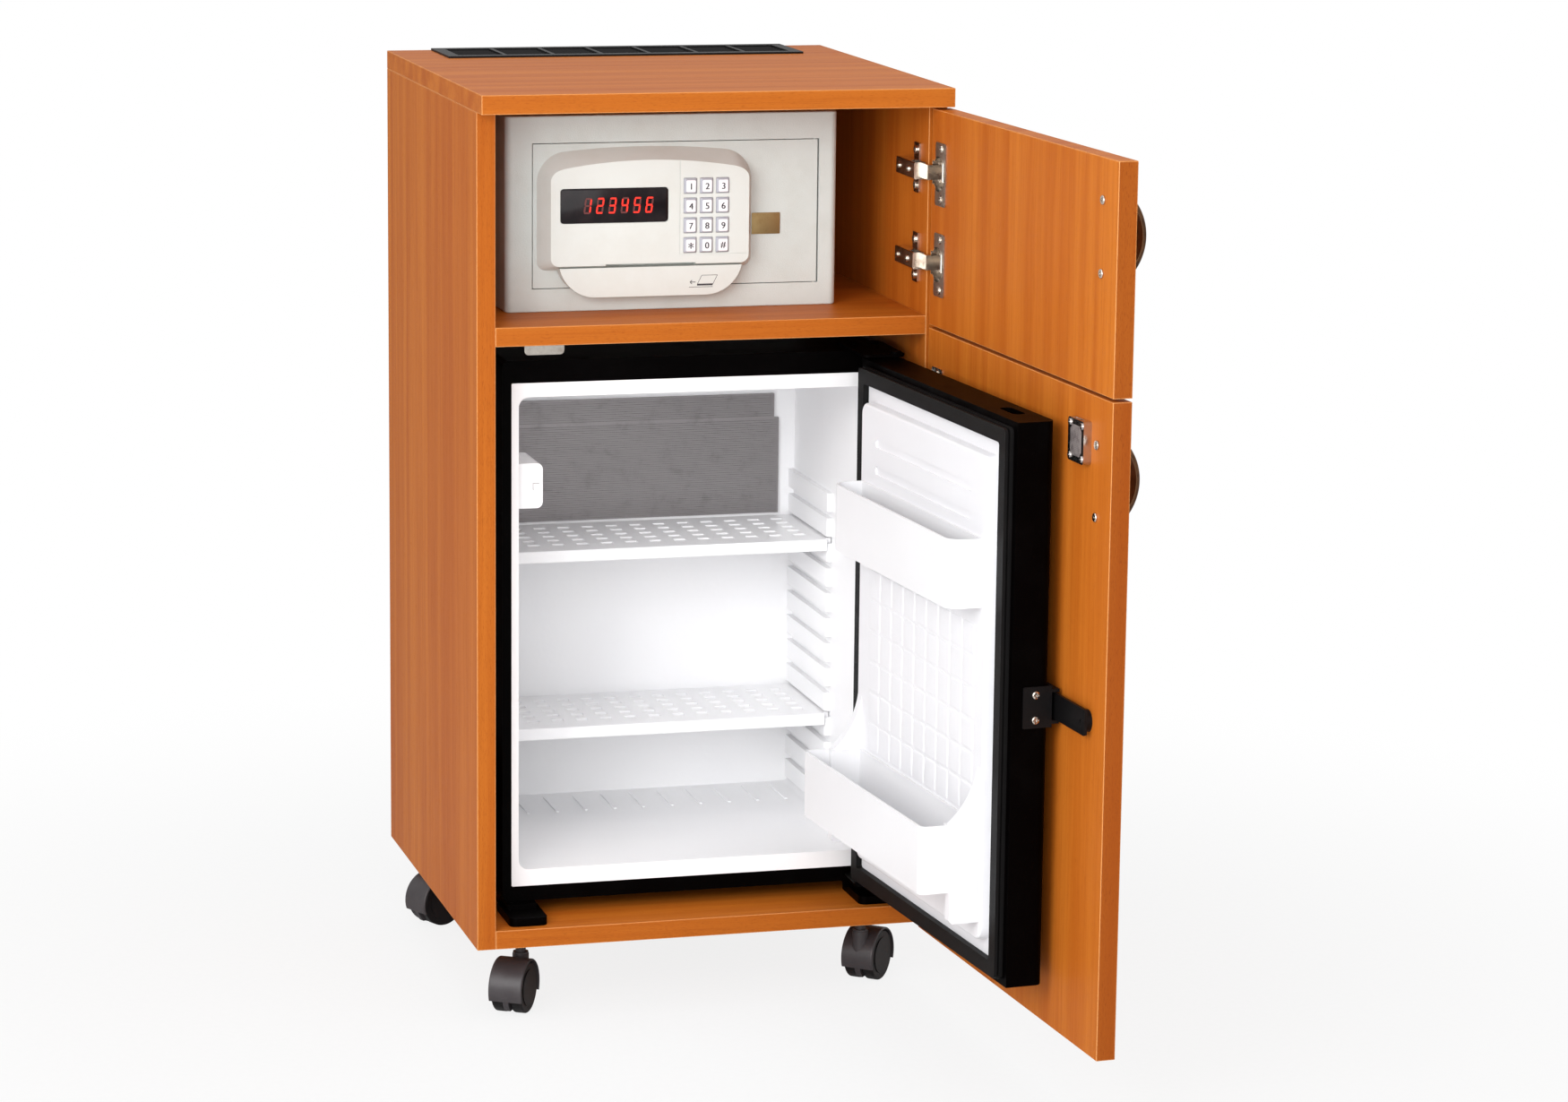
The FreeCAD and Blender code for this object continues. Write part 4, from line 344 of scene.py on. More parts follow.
def ink(name, colour):
    """Printed sign with slightly uneven cover."""
    sheet = Finish(name)
    cover = sheet.noise(sheet.spot(), scale=2600.0, detail=2.0)
    return sheet.surface(
        Base_Color=sheet.mix(cover.above(0.3, 0.8), colour, tint(74, 72, 80)), Roughness=0.5 + cover * 0.15
    )


# Meshes


def mesh_of(shape, name, flat=False):
    """A mesh from a bmesh, with its faces turned outwards."""
    bmesh.ops.recalc_face_normals(shape, faces=shape.faces)
    mesh = bpy.data.meshes.new(name)
    shape.to_mesh(mesh)
    shape.free()
    for face in mesh.polygons:
        face.use_smooth = not flat
    if not flat:
        mesh.set_sharp_from_angle(angle=math.radians(32))
    return mesh


def piece(name, mesh, body, slot, *finishes):
    """A finished piece: its place is in its mesh, and it rides on a body."""
    for finish in finishes:
        mesh.materials.append(finish)
    made = bpy.data.objects.new(name, mesh)
    bpy.context.scene.collection.objects.link(made)
    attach(made, body)
    return made


def swung(mesh, door):
    """Turns a mesh that was made on the closed door to where the door stands at rest."""
    (x, y), degrees = door
    pivot = Matrix.Translation((x, y, 0))
    mesh.transform(pivot @ Matrix.Rotation(math.radians(degrees), 4, "Z") @ pivot.inverted())
    return mesh


def rounded_outline(left, right, low, high, corner, steps=6):
    """Points (x, z) round a rectangle with round corners."""
    points = []
    centres = (
        (right - corner, high - corner, 0),
        (left + corner, high - corner, 90),
        (left + corner, low + corner, 180),
        (right - corner, low + corner, 270),
    )
    for x, z, start in centres:
        for step in range(steps + 1):
            angle = math.radians(start + 90 * step / steps)
            points.append((x + corner * math.cos(angle), z + corner * math.sin(angle)))
    return points


def slab(shape, outline, back, face, soften=0.0):
    """Adds a plate between two depths, with the rim of its face softened."""
    rear = [shape.verts.new((x, back, z)) for x, z in outline]
    front = [shape.verts.new((x, face, z)) for x, z in outline]
    shape.faces.new(rear)
    shape.faces.new(front)
    rim = []
    for place in range(len(outline)):
        after = (place + 1) % len(outline)
        shape.faces.new((rear[place], rear[after], front[after], front[place]))
        rim.append(shape.edges.get((front[place], front[after])))
    if soften > 0:
        bmesh.ops.bevel(shape, geom=rim, offset=soften, segments=3, profile=0.5, affect="EDGES")


def walls(shape, rings):
    """Adds the faces between rings of points that follow one another."""
    for ring, after in zip(rings, rings[1:]):
        for place in range(len(ring)):
            other = (place + 1) % len(ring)
            shape.faces.new((ring[place], ring[other], after[other], after[place]))


def text_mesh(sign, height):
    """A sign in Blender's own plain font, printed twice for a bolder stroke, round its centre."""
    curve = bpy.data.curves.new("sign", "FONT")
    curve.body = sign
    curve.size = height
    curve.align_x = "CENTER"
    curve.align_y = "CENTER"
    curve.extrude = 0.00006
    holder = bpy.data.objects.new("sign", curve)
    bpy.context.scene.collection.objects.link(holder)
    bpy.context.view_layer.update()
    mesh = bpy.data.meshes.new_from_object(holder.evaluated_get(bpy.context.evaluated_depsgraph_get()))
    bpy.data.objects.remove(holder)
    lows = [min(v.co[axis] for v in mesh.vertices) for axis in (0, 1)]
    highs = [max(v.co[axis] for v in mesh.vertices) for axis in (0, 1)]
    mesh.transform(Matrix.Translation((-(lows[0] + highs[0]) / 2, -(lows[1] + highs[1]) / 2, 0)))
    bolder = height * 0.04
    twice = bmesh.new()
    for move in (-bolder / 2, bolder):
        mesh.transform(Matrix.Translation((move, 0, 0)))
        twice.from_mesh(mesh)
    twice.to_mesh(mesh)
    twice.free()
    return mesh


def field_tree(finish, shape):
    """Points in rows and columns, a copy of the shape on each, made real and given its finish."""
    tree = bpy.data.node_groups.new("field", "GeometryNodeTree")
    inputs = (("Columns", "NodeSocketInt"), ("Rows", "NodeSocketInt"))
    inputs += (("Pitch across", "NodeSocketFloat"), ("Pitch up", "NodeSocketFloat"))
    for name, kind in inputs:
        tree.interface.new_socket(name, in_out="INPUT", socket_type=kind)
    tree.interface.new_socket("Geometry", in_out="OUTPUT", socket_type="NodeSocketGeometry")

    def node(kind, settings=None, sockets=None):
        made = tree.nodes.new(kind)
        for name, value in (settings or {}).items():
            setattr(made, name, value)
        for key, value in (sockets or {}).items():
            if isinstance(value, bpy.types.NodeSocket):
                tree.links.new(value, made.inputs[key])
            else:
                made.inputs[key].default_value = value
        return made

    given = node("NodeGroupInput").outputs
    sizes = []
    for count, pitch in (("Columns", "Pitch across"), ("Rows", "Pitch up")):
        less = node("ShaderNodeMath", {"operation": "SUBTRACT"}, {0: given[count], 1: 1.0})
        span = node("ShaderNodeMath", {"operation": "MULTIPLY"}, {0: less.outputs[0], 1: given[pitch]})
        sizes.append(span.outputs[0])
    grid = node(
        "GeometryNodeMeshGrid", None,
        {"Size X": sizes[0], "Size Y": sizes[1], "Vertices X": given["Columns"], "Vertices Y": given["Rows"]},
    )
    quarter = {"Geometry": grid.outputs["Mesh"], "Rotation": (math.radians(90), 0, 0)}
    upright = node("GeometryNodeTransform", None, quarter)
    source = node("GeometryNodeObjectInfo", None, {"Object": shape})
    copies = {"Points": upright.outputs[0], "Instance": source.outputs["Geometry"]}
    placed = node("GeometryNodeInstanceOnPoints", None, copies)
    real = node("GeometryNodeRealizeInstances", None, {"Geometry": placed.outputs[0]})
    painted = node("GeometryNodeSetMaterial", None, {"Geometry": real.outputs[0], "Material": finish})
    node("NodeGroupOutput", None, {"Geometry": painted.outputs[0]})
    return tree


def field(name, shape, finish, counts, pitches):
    """A mesh of like shapes in columns along x and rows along z, round the origin."""
    source = bpy.data.objects.new(name + "_source", shape)
    holder = bpy.data.objects.new(name, bpy.data.meshes.new(name))
    bpy.context.scene.collection.objects.link(holder)
    maker = holder.modifiers.new(name, "NODES")
    maker.node_group = field_tree(finish, source)
    values = dict(zip(("Columns", "Rows", "Pitch across", "Pitch up"), (*counts, *pitches)))
    for item in maker.node_group.interface.items_tree:
        if item.item_type == "SOCKET" and item.name in values:
            maker[item.identifier] = values[item.name]
    bpy.context.view_layer.update()
    ready = holder.evaluated_get(bpy.context.evaluated_depsgraph_get())
    mesh = bpy.data.meshes.new_from_object(ready)
    bpy.data.objects.remove(holder)
    bpy.data.objects.remove(source)
    for face in mesh.polygons:
        face.use_smooth = True
    return mesh


# Settings


class WoodSettings(bpy.types.PropertyGroup):
    light: bpy.props.FloatVectorProperty(
        name="Light", description="Pale bands", subtype="COLOR", size=4, default=tint(194, 111, 36)
    )
    deep: bpy.props.FloatVectorProperty(
        name="Deep", description="Dark bands", subtype="COLOR", size=4, default=tint(173, 88, 22)
    )
    pore: bpy.props.FloatVectorProperty(
        name="Pore", description="Fibres and pores", subtype="COLOR", size=4, default=tint(136, 64, 18)
    )
    # Colour of the painted highlight along the corners of the boards.
    corner: bpy.props.FloatVectorProperty(
        name="Corner", description="Highlit corners", subtype="COLOR", size=4, default=tint(236, 178, 118)
    )
    band: bpy.props.FloatProperty(
        name="Band", description="Width of a band", unit="LENGTH", default=0.026
    )
    sway: bpy.props.FloatProperty(
        name="Sway", description="How far the grain wanders", unit="LENGTH", default=0.012
    )


class TileSettings(bpy.types.PropertyGroup):
    columns: bpy.props.IntProperty(name="Columns", description="Tiles side by side", default=9)
    rows: bpy.props.IntProperty(name="Rows", description="Tiles one above another", default=6)
    pitch_x: bpy.props.FloatProperty(
        name="Pitch across", description="From tile to tile", unit="LENGTH", default=0.0293
    )
    pitch_z: bpy.props.FloatProperty(
        name="Pitch up", description="From tile to tile", unit="LENGTH", default=0.0298
    )
    groove: bpy.props.FloatProperty(
        name="Groove", description="Gap between two tiles", unit="LENGTH", default=0.002
    )
    rise: bpy.props.FloatProperty(name="Rise", description="Height of a tile", unit="LENGTH", default=0.0008)
    shift: bpy.props.FloatProperty(
        name="Shift", description="Middle of the field from that of the door", unit="LENGTH", default=-0.0032
    )
    low: bpy.props.FloatProperty(
        name="Lowest", description="Lower edge of the field", unit="LENGTH", default=0.2635
    )


class SafeSettings(bpy.types.PropertyGroup):
    reading: bpy.props.StringProperty(name="Reading", description="Figures on the display", default="123456")
    figure_high: bpy.props.FloatProperty(
        name="Figure height", description="Height of a figure", unit="LENGTH", default=0.0152
    )
    figure_pitch: bpy.props.FloatProperty(
        name="Figure pitch", description="From figure to figure", unit="LENGTH", default=0.012
    )
    slant: bpy.props.FloatProperty(
        name="Slant", description="Lean of the figures", subtype="ANGLE", default=math.radians(7)
    )
    legend: bpy.props.FloatProperty(
        name="Legend", description="Height of the signs on the keys", unit="LENGTH", default=0.0086
    )


class StageSettings(bpy.types.PropertyGroup):
    sky: bpy.props.FloatProperty(name="Sky", description="Even light from all round", default=0.6)
    key: bpy.props.FloatProperty(name="Key lamp", description="Watts of the left lamp", default=46.0)
    front: bpy.props.FloatProperty(name="Front lamp", description="Watts of the front lamp", default=65.0)
    fill: bpy.props.FloatProperty(name="Fill lamp", description="Watts of the right lamp", default=6.0)
    top: bpy.props.FloatProperty(name="Top lamp", description="Watts of the upper lamp", default=20.0)
    cold: bpy.props.FloatProperty(name="Cold lamp", description="Watts of the lamp in the box", default=0.085)


# Pieces


class MINIBAR_OT_boards(bpy.types.Operator):
    """Beech laminate on the boards and doors, each with its own stretch of the print"""

    bl_idname = "minibar.boards"
    bl_label = "Boards"

    def execute(self, context):
        upright = ("left_side_panel", "right_side_panel", "rear_panels")
        upright += ("upper_door_panel", "lower_door_panel")
        level = ("top_panel", "middle_shelf", "bottom_panel")
        for place, name in enumerate(upright):
            # Strength of the painted shade on the faces that look to the front, more on the doors.
            front_shade = 0.7 if "door" in name else 0.33
            dressed([name], laminate("beech_" + name, "Z", (1.7 * place, 0.9 * place, 0.4 * place), front_shade))
        for place, name in enumerate(level):
            dressed([name], laminate("beech_" + name, "X", (0.5 * place, 2.1 * place, 1.3 * place), 0.33))
        return {"FINISHED"}


class MINIBAR_OT_cold_box(bpy.types.Operator):
    """Finishes of the cold box, its door and what is in them"""

    bl_idname = "minibar.cold_box"
    bl_label = "Cold box"

    def execute(self, context):
        liner = gloss_plastic("liner_white", tint(248, 248, 249), tint(245, 245, 247), 0.26)
        inner_door = gloss_plastic("door_liner_white", tint(234, 234, 237), tint(231, 231, 234), 0.28)
        parts = gloss_plastic("moulded_white", tint(233, 233, 235), tint(230, 230, 232), 0.3, 0.00008)
        paint = grained("black_enamel", tint(2, 1, 1), tint(4, 3, 3), 0.36, 0.0016, 0.00012, 0.02)
        rubber = grained("seal_rubber", tint(10, 9, 9), tint(16, 14, 14), 0.5, 0.0007, 0.00008, 0.15)
        unit = grained("unit_black", tint(24, 23, 24), tint(40, 38, 38), 0.55, 0.0009, 0.00012)
        dressed(("fridge_liner", "fridge_shelves", "thermostat_box", "light_switch_button"), liner)
        dressed(("fridge_door_liner",), inner_door)
        dressed(("bottle_bins",), parts)
        dressed(("fridge_casing", "fridge_brackets", "fridge_door_shell"), paint)
        dressed(("fridge_door_gasket",), rubber)
        dressed(("cooling_unit",), unit)
        dressed(("insulation_foam", "fridge_door_foam"), cell_foam("cell_foam"))
        cold = brushed("cold_plate", tint(150, 146, 147), tint(143, 139, 140), 0.42, (12, 900, 900))
        dressed(("evaporator_plate",), cold)
        return {"FINISHED"}


class MINIBAR_OT_fittings(bpy.types.Operator):
    """Finishes of the hinges, screws, handles, lock, grille and castors"""

    bl_idname = "minibar.fittings"
    bl_label = "Fittings"

    def execute(self, context):
        nickel = brushed("bright_nickel", tint(214, 206, 196), tint(176, 164, 152), 0.13, (300, 300, 900))
        lines = (500, 500, 300)
        lock = brushed("lock_chrome", tint(204, 199, 197), tint(172, 165, 162), 0.14, lines, 0.00001)
        black = grained("moulded_black", tint(9, 8, 9), tint(17, 15, 16), 0.4, 0.0005, 0.0001, 0.16)
        hood = grained("castor_hood", tint(56, 52, 54), tint(66, 62, 64), 0.34, 0.0006, 0.00008)
        wheel = grained("castor_wheel", tint(15, 13, 14), tint(25, 22, 23), 0.3, 0.0006, 0.00008, 0.2)
        bright = ("hinge_arms", "strike_plate", "upper_hinge_cups", "lower_hinge_cups", "upper_door_screws")
        dressed((*bright, "lower_door_screws", "safe_bolts", "lock_bolt"), nickel)
        dressed(("lock_case", "lock_plug"), lock)
        dressed(("upper_handle", "lower_handle"), worn_bronze("handle_bronze"))
        dressed(("vent_grille", "coupling_strip", "coupling_bracket"), black)
        for corner in ("front_left", "front_right", "rear_left", "rear_right"):
            dressed((f"castor_{corner}_housing",), hood)
            dressed((f"castor_{corner}_wheels",), wheel)
        return {"FINISHED"}


class MINIBAR_OT_safe_shell(bpy.types.Operator):
    """Cream powder coat on the safe and smooth plastic on its control panel"""

    bl_idname = "minibar.safe_shell"
    bl_label = "Safe shell"

    def execute(self, context):
        coat = grained("cream_powder_coat", tint(201, 208, 205), tint(196, 202, 198), 0.42, 0.0011, 0.00022)
        panel = grained("cream_plastic", tint(212, 216, 212), tint(208, 211, 206), 0.36, 0.0005, 0.00005)
        dressed(("safe_body", "safe_door"), coat)
        dressed(("safe_control_panel",), panel)
        return {"FINISHED"}


class MINIBAR_OT_keys(bpy.types.Operator):
    """Keycaps with sloping sides and their signs"""

    bl_idname = "minibar.keys"
    bl_label = "Keys"

    SLOPE = 1.7 * MM
    RISE = 2.2 * MM
    CORNER = 1.2 * MM
    SHIFT = 0.4 * MM

    def execute(self, context):
        # The grey is painted shade on the sloping sides of the caps.
        cap = key_plastic("key_white", tint(240, 240, 243), tint(176, 178, 188))
        signs = ink("key_print", tint(20, 22, 34))
        legend = context.scene.minibar_safe.legend
        for name in KEY_ORDER:
            low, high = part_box("safe_key_" + name)
            self.cap(name, low, high, cap)
            sign = text_mesh(KEY_SIGNS.get(name, name), legend * (1.5 if name == "star" else 1.0))
            centre = (low + high) / 2
            place = Matrix.Translation((centre.x + self.SHIFT, low.y, centre.z - self.SHIFT))
            sign.transform(place @ Matrix.Rotation(math.radians(90), 4, "X"))
            piece("key_sign_" + name, sign, "key_" + name, "key_white", signs)
        return {"FINISHED"}

    def cap(self, name, low, high, finish):
        """Rows of the levels: the depth, how far the outline is drawn in, and how far it is shifted."""
        shape = bmesh.new()
        levels = (
            (high.y, 0.0, 0.0),
            (low.y + self.RISE, 0.0, 0.0),
            (low.y + self.RISE * 0.86, 0.15 * MM, 0.0),
            (low.y + 0.35 * MM, self.SLOPE * 0.88, self.SHIFT),
            (low.y + 0.08 * MM, self.SLOPE, self.SHIFT),
            (low.y, self.SLOPE + 0.4 * MM, self.SHIFT),
        )
        rings = []
        for y, inset, shift in levels:
            outline = rounded_outline(
                low.x + inset + shift / 2, high.x - inset + shift / 2,
                low.z + inset - shift / 2, high.z - inset - shift / 2, self.CORNER,
            )
            rings.append([shape.verts.new((x, y, z)) for x, z in outline])
        walls(shape, rings)
        shape.faces.new(rings[0])
        shape.faces.new(rings[-1])
        made = piece("key_cap_" + name, mesh_of(shape, "key_cap"), "key_" + name, "key_white", finish)
        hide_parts("safe_key_" + name)


class MINIBAR_OT_display(bpy.types.Operator):
    """Smoked window with red seven segment figures"""

    bl_idname = "minibar.display"
    bl_label = "Display"

    LEFT, RIGHT, LOW, HIGH = (-131.8 * MM, -27.0 * MM, 762.8 * MM, 795.7 * MM)
    BARS = {"0": "abcdef", "1": "bc", "2": "abdeg", "3": "abcdg", "4": "bcfg", "5": "acdfg", "6": "acdefg"}
    BARS |= {"7": "abc", "8": "abcdefg", "9": "abcdfg"}

    def execute(self, context):
        safe = context.scene.minibar_safe
        window = bmesh.new()
        outline = rounded_outline(self.LEFT, self.RIGHT, self.LOW, self.HIGH, 3.2 * MM)
        face = PANEL_FACE + 0.25 * MM
        slab(window, outline, PANEL_FACE + 1.15 * MM, face, 0.35 * MM)
        piece(
            "display_window", mesh_of(window, "window"), "safe_door_body", "black_plastic",
            glass_black("smoked_window"),
        )
        shapes = {True: bmesh.new(), False: bmesh.new()}
        count = len(safe.reading)
        last = self.LEFT + 86.5 * MM
        for place, figure in enumerate(safe.reading):
            centre = last - (count - 1 - place) * safe.figure_pitch
            on = self.BARS.get(figure, "")
            for bar in "abcdefg":
                self.bar(shapes[bar in on], bar, centre, face, safe)
        red = lit("segment_on", tint(190, 24, 10), tint(255, 52, 24), 1.0)
        # The unlit segments are given a faint painted glow.
        unlit_glow = lit("segment_off", tint(84, 34, 32), tint(110, 38, 34), 0.35)
        piece("display_figures", mesh_of(shapes[True], "on", True), "safe_door_body", "black_plastic", red)
        piece("display_unlit", mesh_of(shapes[False], "off", True), "safe_door_body", "black_plastic", unlit_glow)
        return {"FINISHED"}

    def bar(self, shape, bar, centre, face, safe):
        half_high = safe.figure_high / 2
        half_wide = half_high * 0.46
        thick = half_high * 0.11
        gap = thick * 0.35
        middle = (self.LOW + self.HIGH) / 2
        level = {"a": 1, "g": 0, "d": -1}
        if bar in level:
            x, z = 0.0, level[bar] * (half_high - thick)
            reach = half_wide - thick - gap
            points = ((-reach - thick, 0), (-reach, thick), (reach, thick))
            points += ((reach + thick, 0), (reach, -thick), (-reach, -thick))
        else:
            x = (half_wide - thick) * (1 if bar in "bc" else -1)
            z = (half_high - thick) / 2 * (1 if bar in "bf" else -1)
            reach = (half_high - thick) / 2 - thick - gap
            points = ((0, reach + thick), (thick, reach), (thick, -reach))
            points += ((0, -reach - thick), (-thick, -reach), (-thick, reach))
        lean = math.tan(safe.slant)
        outline = []
        for dx, dz in points:
            up = z + dz
            outline.append((centre + x + dx + up * lean, middle + up))
        slab(shape, outline, face + 0.05 * MM, face - 0.04 * MM)


class MINIBAR_OT_plate(bpy.types.Operator):
    """Bare brass plate on the safe door, with a raised border"""

    bl_idname = "minibar.plate"
    bl_label = "Brass plate"

    def execute(self, context):
        left, right, low, high = (60.7 * MM, 88.8 * MM, 746.2 * MM, 766.8 * MM)
        face = SAFE_DOOR_FACE - 0.8 * MM
        shape = bmesh.new()
        slab(shape, rounded_outline(left, right, low, high, 0.6 * MM), SAFE_DOOR_FACE, face, 0.25 * MM)
        border = 1.4 * MM
        wide = 0.35 * MM
        high_face = face - 0.15 * MM
        spans = (
            (left + border, right - border, high - border - wide, high - border),
            (left + border, right - border, low + border, low + border + wide),
            (left + border, left + border + wide, low + border + wide, high - border - wide),
            (right - border - wide, right - border, low + border + wide, high - border - wide),
        )
        for x0, x1, z0, z1 in spans:
            slab(shape, ((x0, z0), (x1, z0), (x1, z1), (x0, z1)), face + 0.02 * MM, high_face)
        brass = brushed("plate_brass", tint(152, 130, 90), tint(140, 117, 79), 0.3, (300, 900, 1600))
        piece("brass_plate", mesh_of(shape, "plate"), "safe_door_body", "handle_bronze", brass)
        return {"FINISHED"}


class MINIBAR_OT_card_sign(bpy.types.Operator):
    """Plain printed card and arrow on the lip under the card slot"""

    bl_idname = "minibar.card_sign"
    bl_label = "Card sign"

    def execute(self, context):
        shape = bmesh.new()
        face = SAFE_DOOR_FACE - 18.0 * MM
        thick = 0.06 * MM
        left, right, low, high = (2.5 * MM, 22.5 * MM, 701.2 * MM, 710.2 * MM)
        lean = 4.6 * MM
        line = 0.45 * MM

        def bar(x0, z0, x1, z1, width):
            along = Vector((x1 - x0, z1 - z0)).normalized()
            side = Vector((-along.y, along.x)) * width / 2
            ends = (Vector((x0, z0)), Vector((x1, z1)))
            outline = [ends[0] + side, ends[0] - side, ends[1] - side, ends[1] + side]
            slab(shape, [tuple(point) for point in outline], face + thick, face - thick)

        bar(left, low, left + lean, high, line)
        bar(left + lean, high, right, high, line)
        bar(right, high, right - lean, low, line)
        bar(left, low, right - lean, low, line * 4)
        bar(left - 8 * MM, low - 2.2 * MM, right - lean, low - 2.2 * MM, line)
        bar(left - 7 * MM, low + 2.6 * MM, left - 1.5 * MM, low + 2.6 * MM, line * 1.6)
        bar(left - 7 * MM, low + 2.6 * MM, left - 5 * MM, low + 4.4 * MM, line * 1.6)
        bar(left - 7 * MM, low + 2.6 * MM, left - 5 * MM, low + 0.8 * MM, line * 1.6)
        sign = ink("card_print", tint(48, 44, 46))
        piece("card_sign", mesh_of(shape, "card", True), "safe_door_body", "panel_cream", sign)
        return {"FINISHED"}


class MINIBAR_OT_lock_cover(bpy.types.Operator):
    """Dark knurled field in the cover of the rim lock"""

    bl_idname = "minibar.lock_cover"
    bl_label = "Lock cover"

    def execute(self, context):
        sheet = Finish("lock_knurl")
        here = sheet.spot()
        sockets = {"Vector": here, "Scale": 700.0, "Randomness": 0.0}
        points = sheet.node("ShaderNodeTexVoronoi", {"distance": "MANHATTAN"}, sockets)
        smudge = sheet.noise(here, scale=140.0, detail=3.0)
        knurl = sheet.surface(
            Base_Color=sheet.mix(smudge.above(0.4, 0.7), tint(158, 148, 146), tint(112, 102, 102)),
            Roughness=0.34 + smudge * 0.15,
            Metallic=0.6,
            Normal=sheet.bump(points, 0.0006),
        )
        left, right, low, high = (-174.8 * MM, -151.2 * MM, 608.6 * MM, 635.9 * MM)
        notch = 4.0 * MM
        outline = []
        for x, z, dx, dz in (
            (right, high, -1, -1), (left, high, 1, -1), (left, low, 1, 1), (right, low, -1, 1),
        ):
            bend = [(x, z + dz * notch), (x + dx * notch * 0.35, z + dz * notch * 0.75)]
            bend += [(x + dx * notch * 0.75, z + dz * notch * 0.35), (x + dx * notch, z)]
            outline += bend if dx * dz > 0 else bend[::-1]
        shape = bmesh.new()
        slab(shape, outline, 5.2 * MM, 5.75 * MM, 0.12 * MM)
        mesh = swung(mesh_of(shape, "cover"), WOOD_DOOR)
        piece("lock_cover", mesh, "lower_door", "lock_metal", knurl)
        return {"FINISHED"}


class MINIBAR_OT_fork_screws(bpy.types.Operator):
    """Bright heads of the two screws that hold the fork to the edge of the cold door"""

    bl_idname = "minibar.fork_screws"
    bl_label = "Fork screws"

    def execute(self, context):
        seat = Vector((-193.5, 22.0, 375.5)) * MM
        pitch = 23.0 * MM
        finish = bpy.data.materials["bright_nickel"]
        mesh = field("fork_screws", self.head(), finish, (1, 2), (pitch, pitch))
        mesh.transform(Matrix.Translation(seat) @ Matrix.Rotation(math.radians(90), 4, "Z"))
        piece("fork_screws", swung(mesh, COLD_DOOR), "fridge_door", "nickel_steel")
        return {"FINISHED"}

    def head(self):
        """A low domed head with a cross sunk in it, standing on y = 0."""
        shape = bmesh.new()
        radius = 3.7 * MM
        high = 1.9 * MM
        sides = 32
        levels = ((0.0, 1.0), (0.45, 1.0), (0.75, 0.93), (0.93, 0.74), (1.0, 0.5), (1.0, 0.42))
        rings = []
        for up, share in levels:
            ring = []
            for step in range(sides):
                turn = 2 * math.pi * step / sides
                reach = radius * share
                ring.append(shape.verts.new((reach * math.cos(turn), high * up, reach * math.sin(turn))))
            rings.append(ring)
        walls(shape, rings)
        centre = shape.verts.new((0, high * 0.62, 0))
        for place in range(sides):
            other = (place + 1) % sides
            shape.faces.new((rings[-1][place], rings[-1][other], centre))
        shape.faces.new(rings[0])
        sunk = high * 0.34
        quarter = sides // 4
        for ring in rings[-2:]:
            for place, vert in enumerate(ring):
                if place % quarter in (quarter - 1, 0, 1):
                    vert.co.y -= sunk
        return mesh_of(shape, "fork_screw")


class MINIBAR_OT_tiles(bpy.types.Operator):
    """Field of raised tiles moulded in the liner of the cold door"""

    bl_idname = "minibar.tiles"
    bl_label = "Door tiles"

    def execute(self, context):
        tiles = context.scene.minibar_tiles
        finish = bpy.data.materials["door_liner_white"]
        pitches = (tiles.pitch_x, tiles.pitch_z)
        mesh = field("tiles", self.tile(tiles), finish, (tiles.columns, tiles.rows), pitches)
        middle = tiles.low + tiles.rows * tiles.pitch_z / 2
        mesh.transform(Matrix.Translation((tiles.shift, DOOR_LINER_FACE, middle)))
        piece("door_tiles", swung(mesh, COLD_DOOR), "fridge_door", "white_liner")
        return {"FINISHED"}

    def tile(self, tiles):
        """One tile with a soft rim, standing on y = 0."""
        corner = 3.0 * MM
        shape = bmesh.new()
        half_x = (tiles.pitch_x - tiles.groove) / 2
        half_z = (tiles.pitch_z - tiles.groove) / 2
        rise = tiles.rise
        levels = ((-0.2 * MM, 0.0), (rise * 0.45, 0.2 * MM), (rise * 0.85, 0.8 * MM), (rise, 1.8 * MM))
        rings = []
        for y, inset in levels:
            left, low = inset - half_x, inset - half_z
            outline = rounded_outline(left, -left, low, -low, corner, 3)
            rings.append([shape.verts.new((x, y, z)) for x, z in outline])
        walls(shape, rings)
        shape.faces.new(rings[0])
        shape.faces.new(rings[-1])
        return mesh_of(shape, "tile")


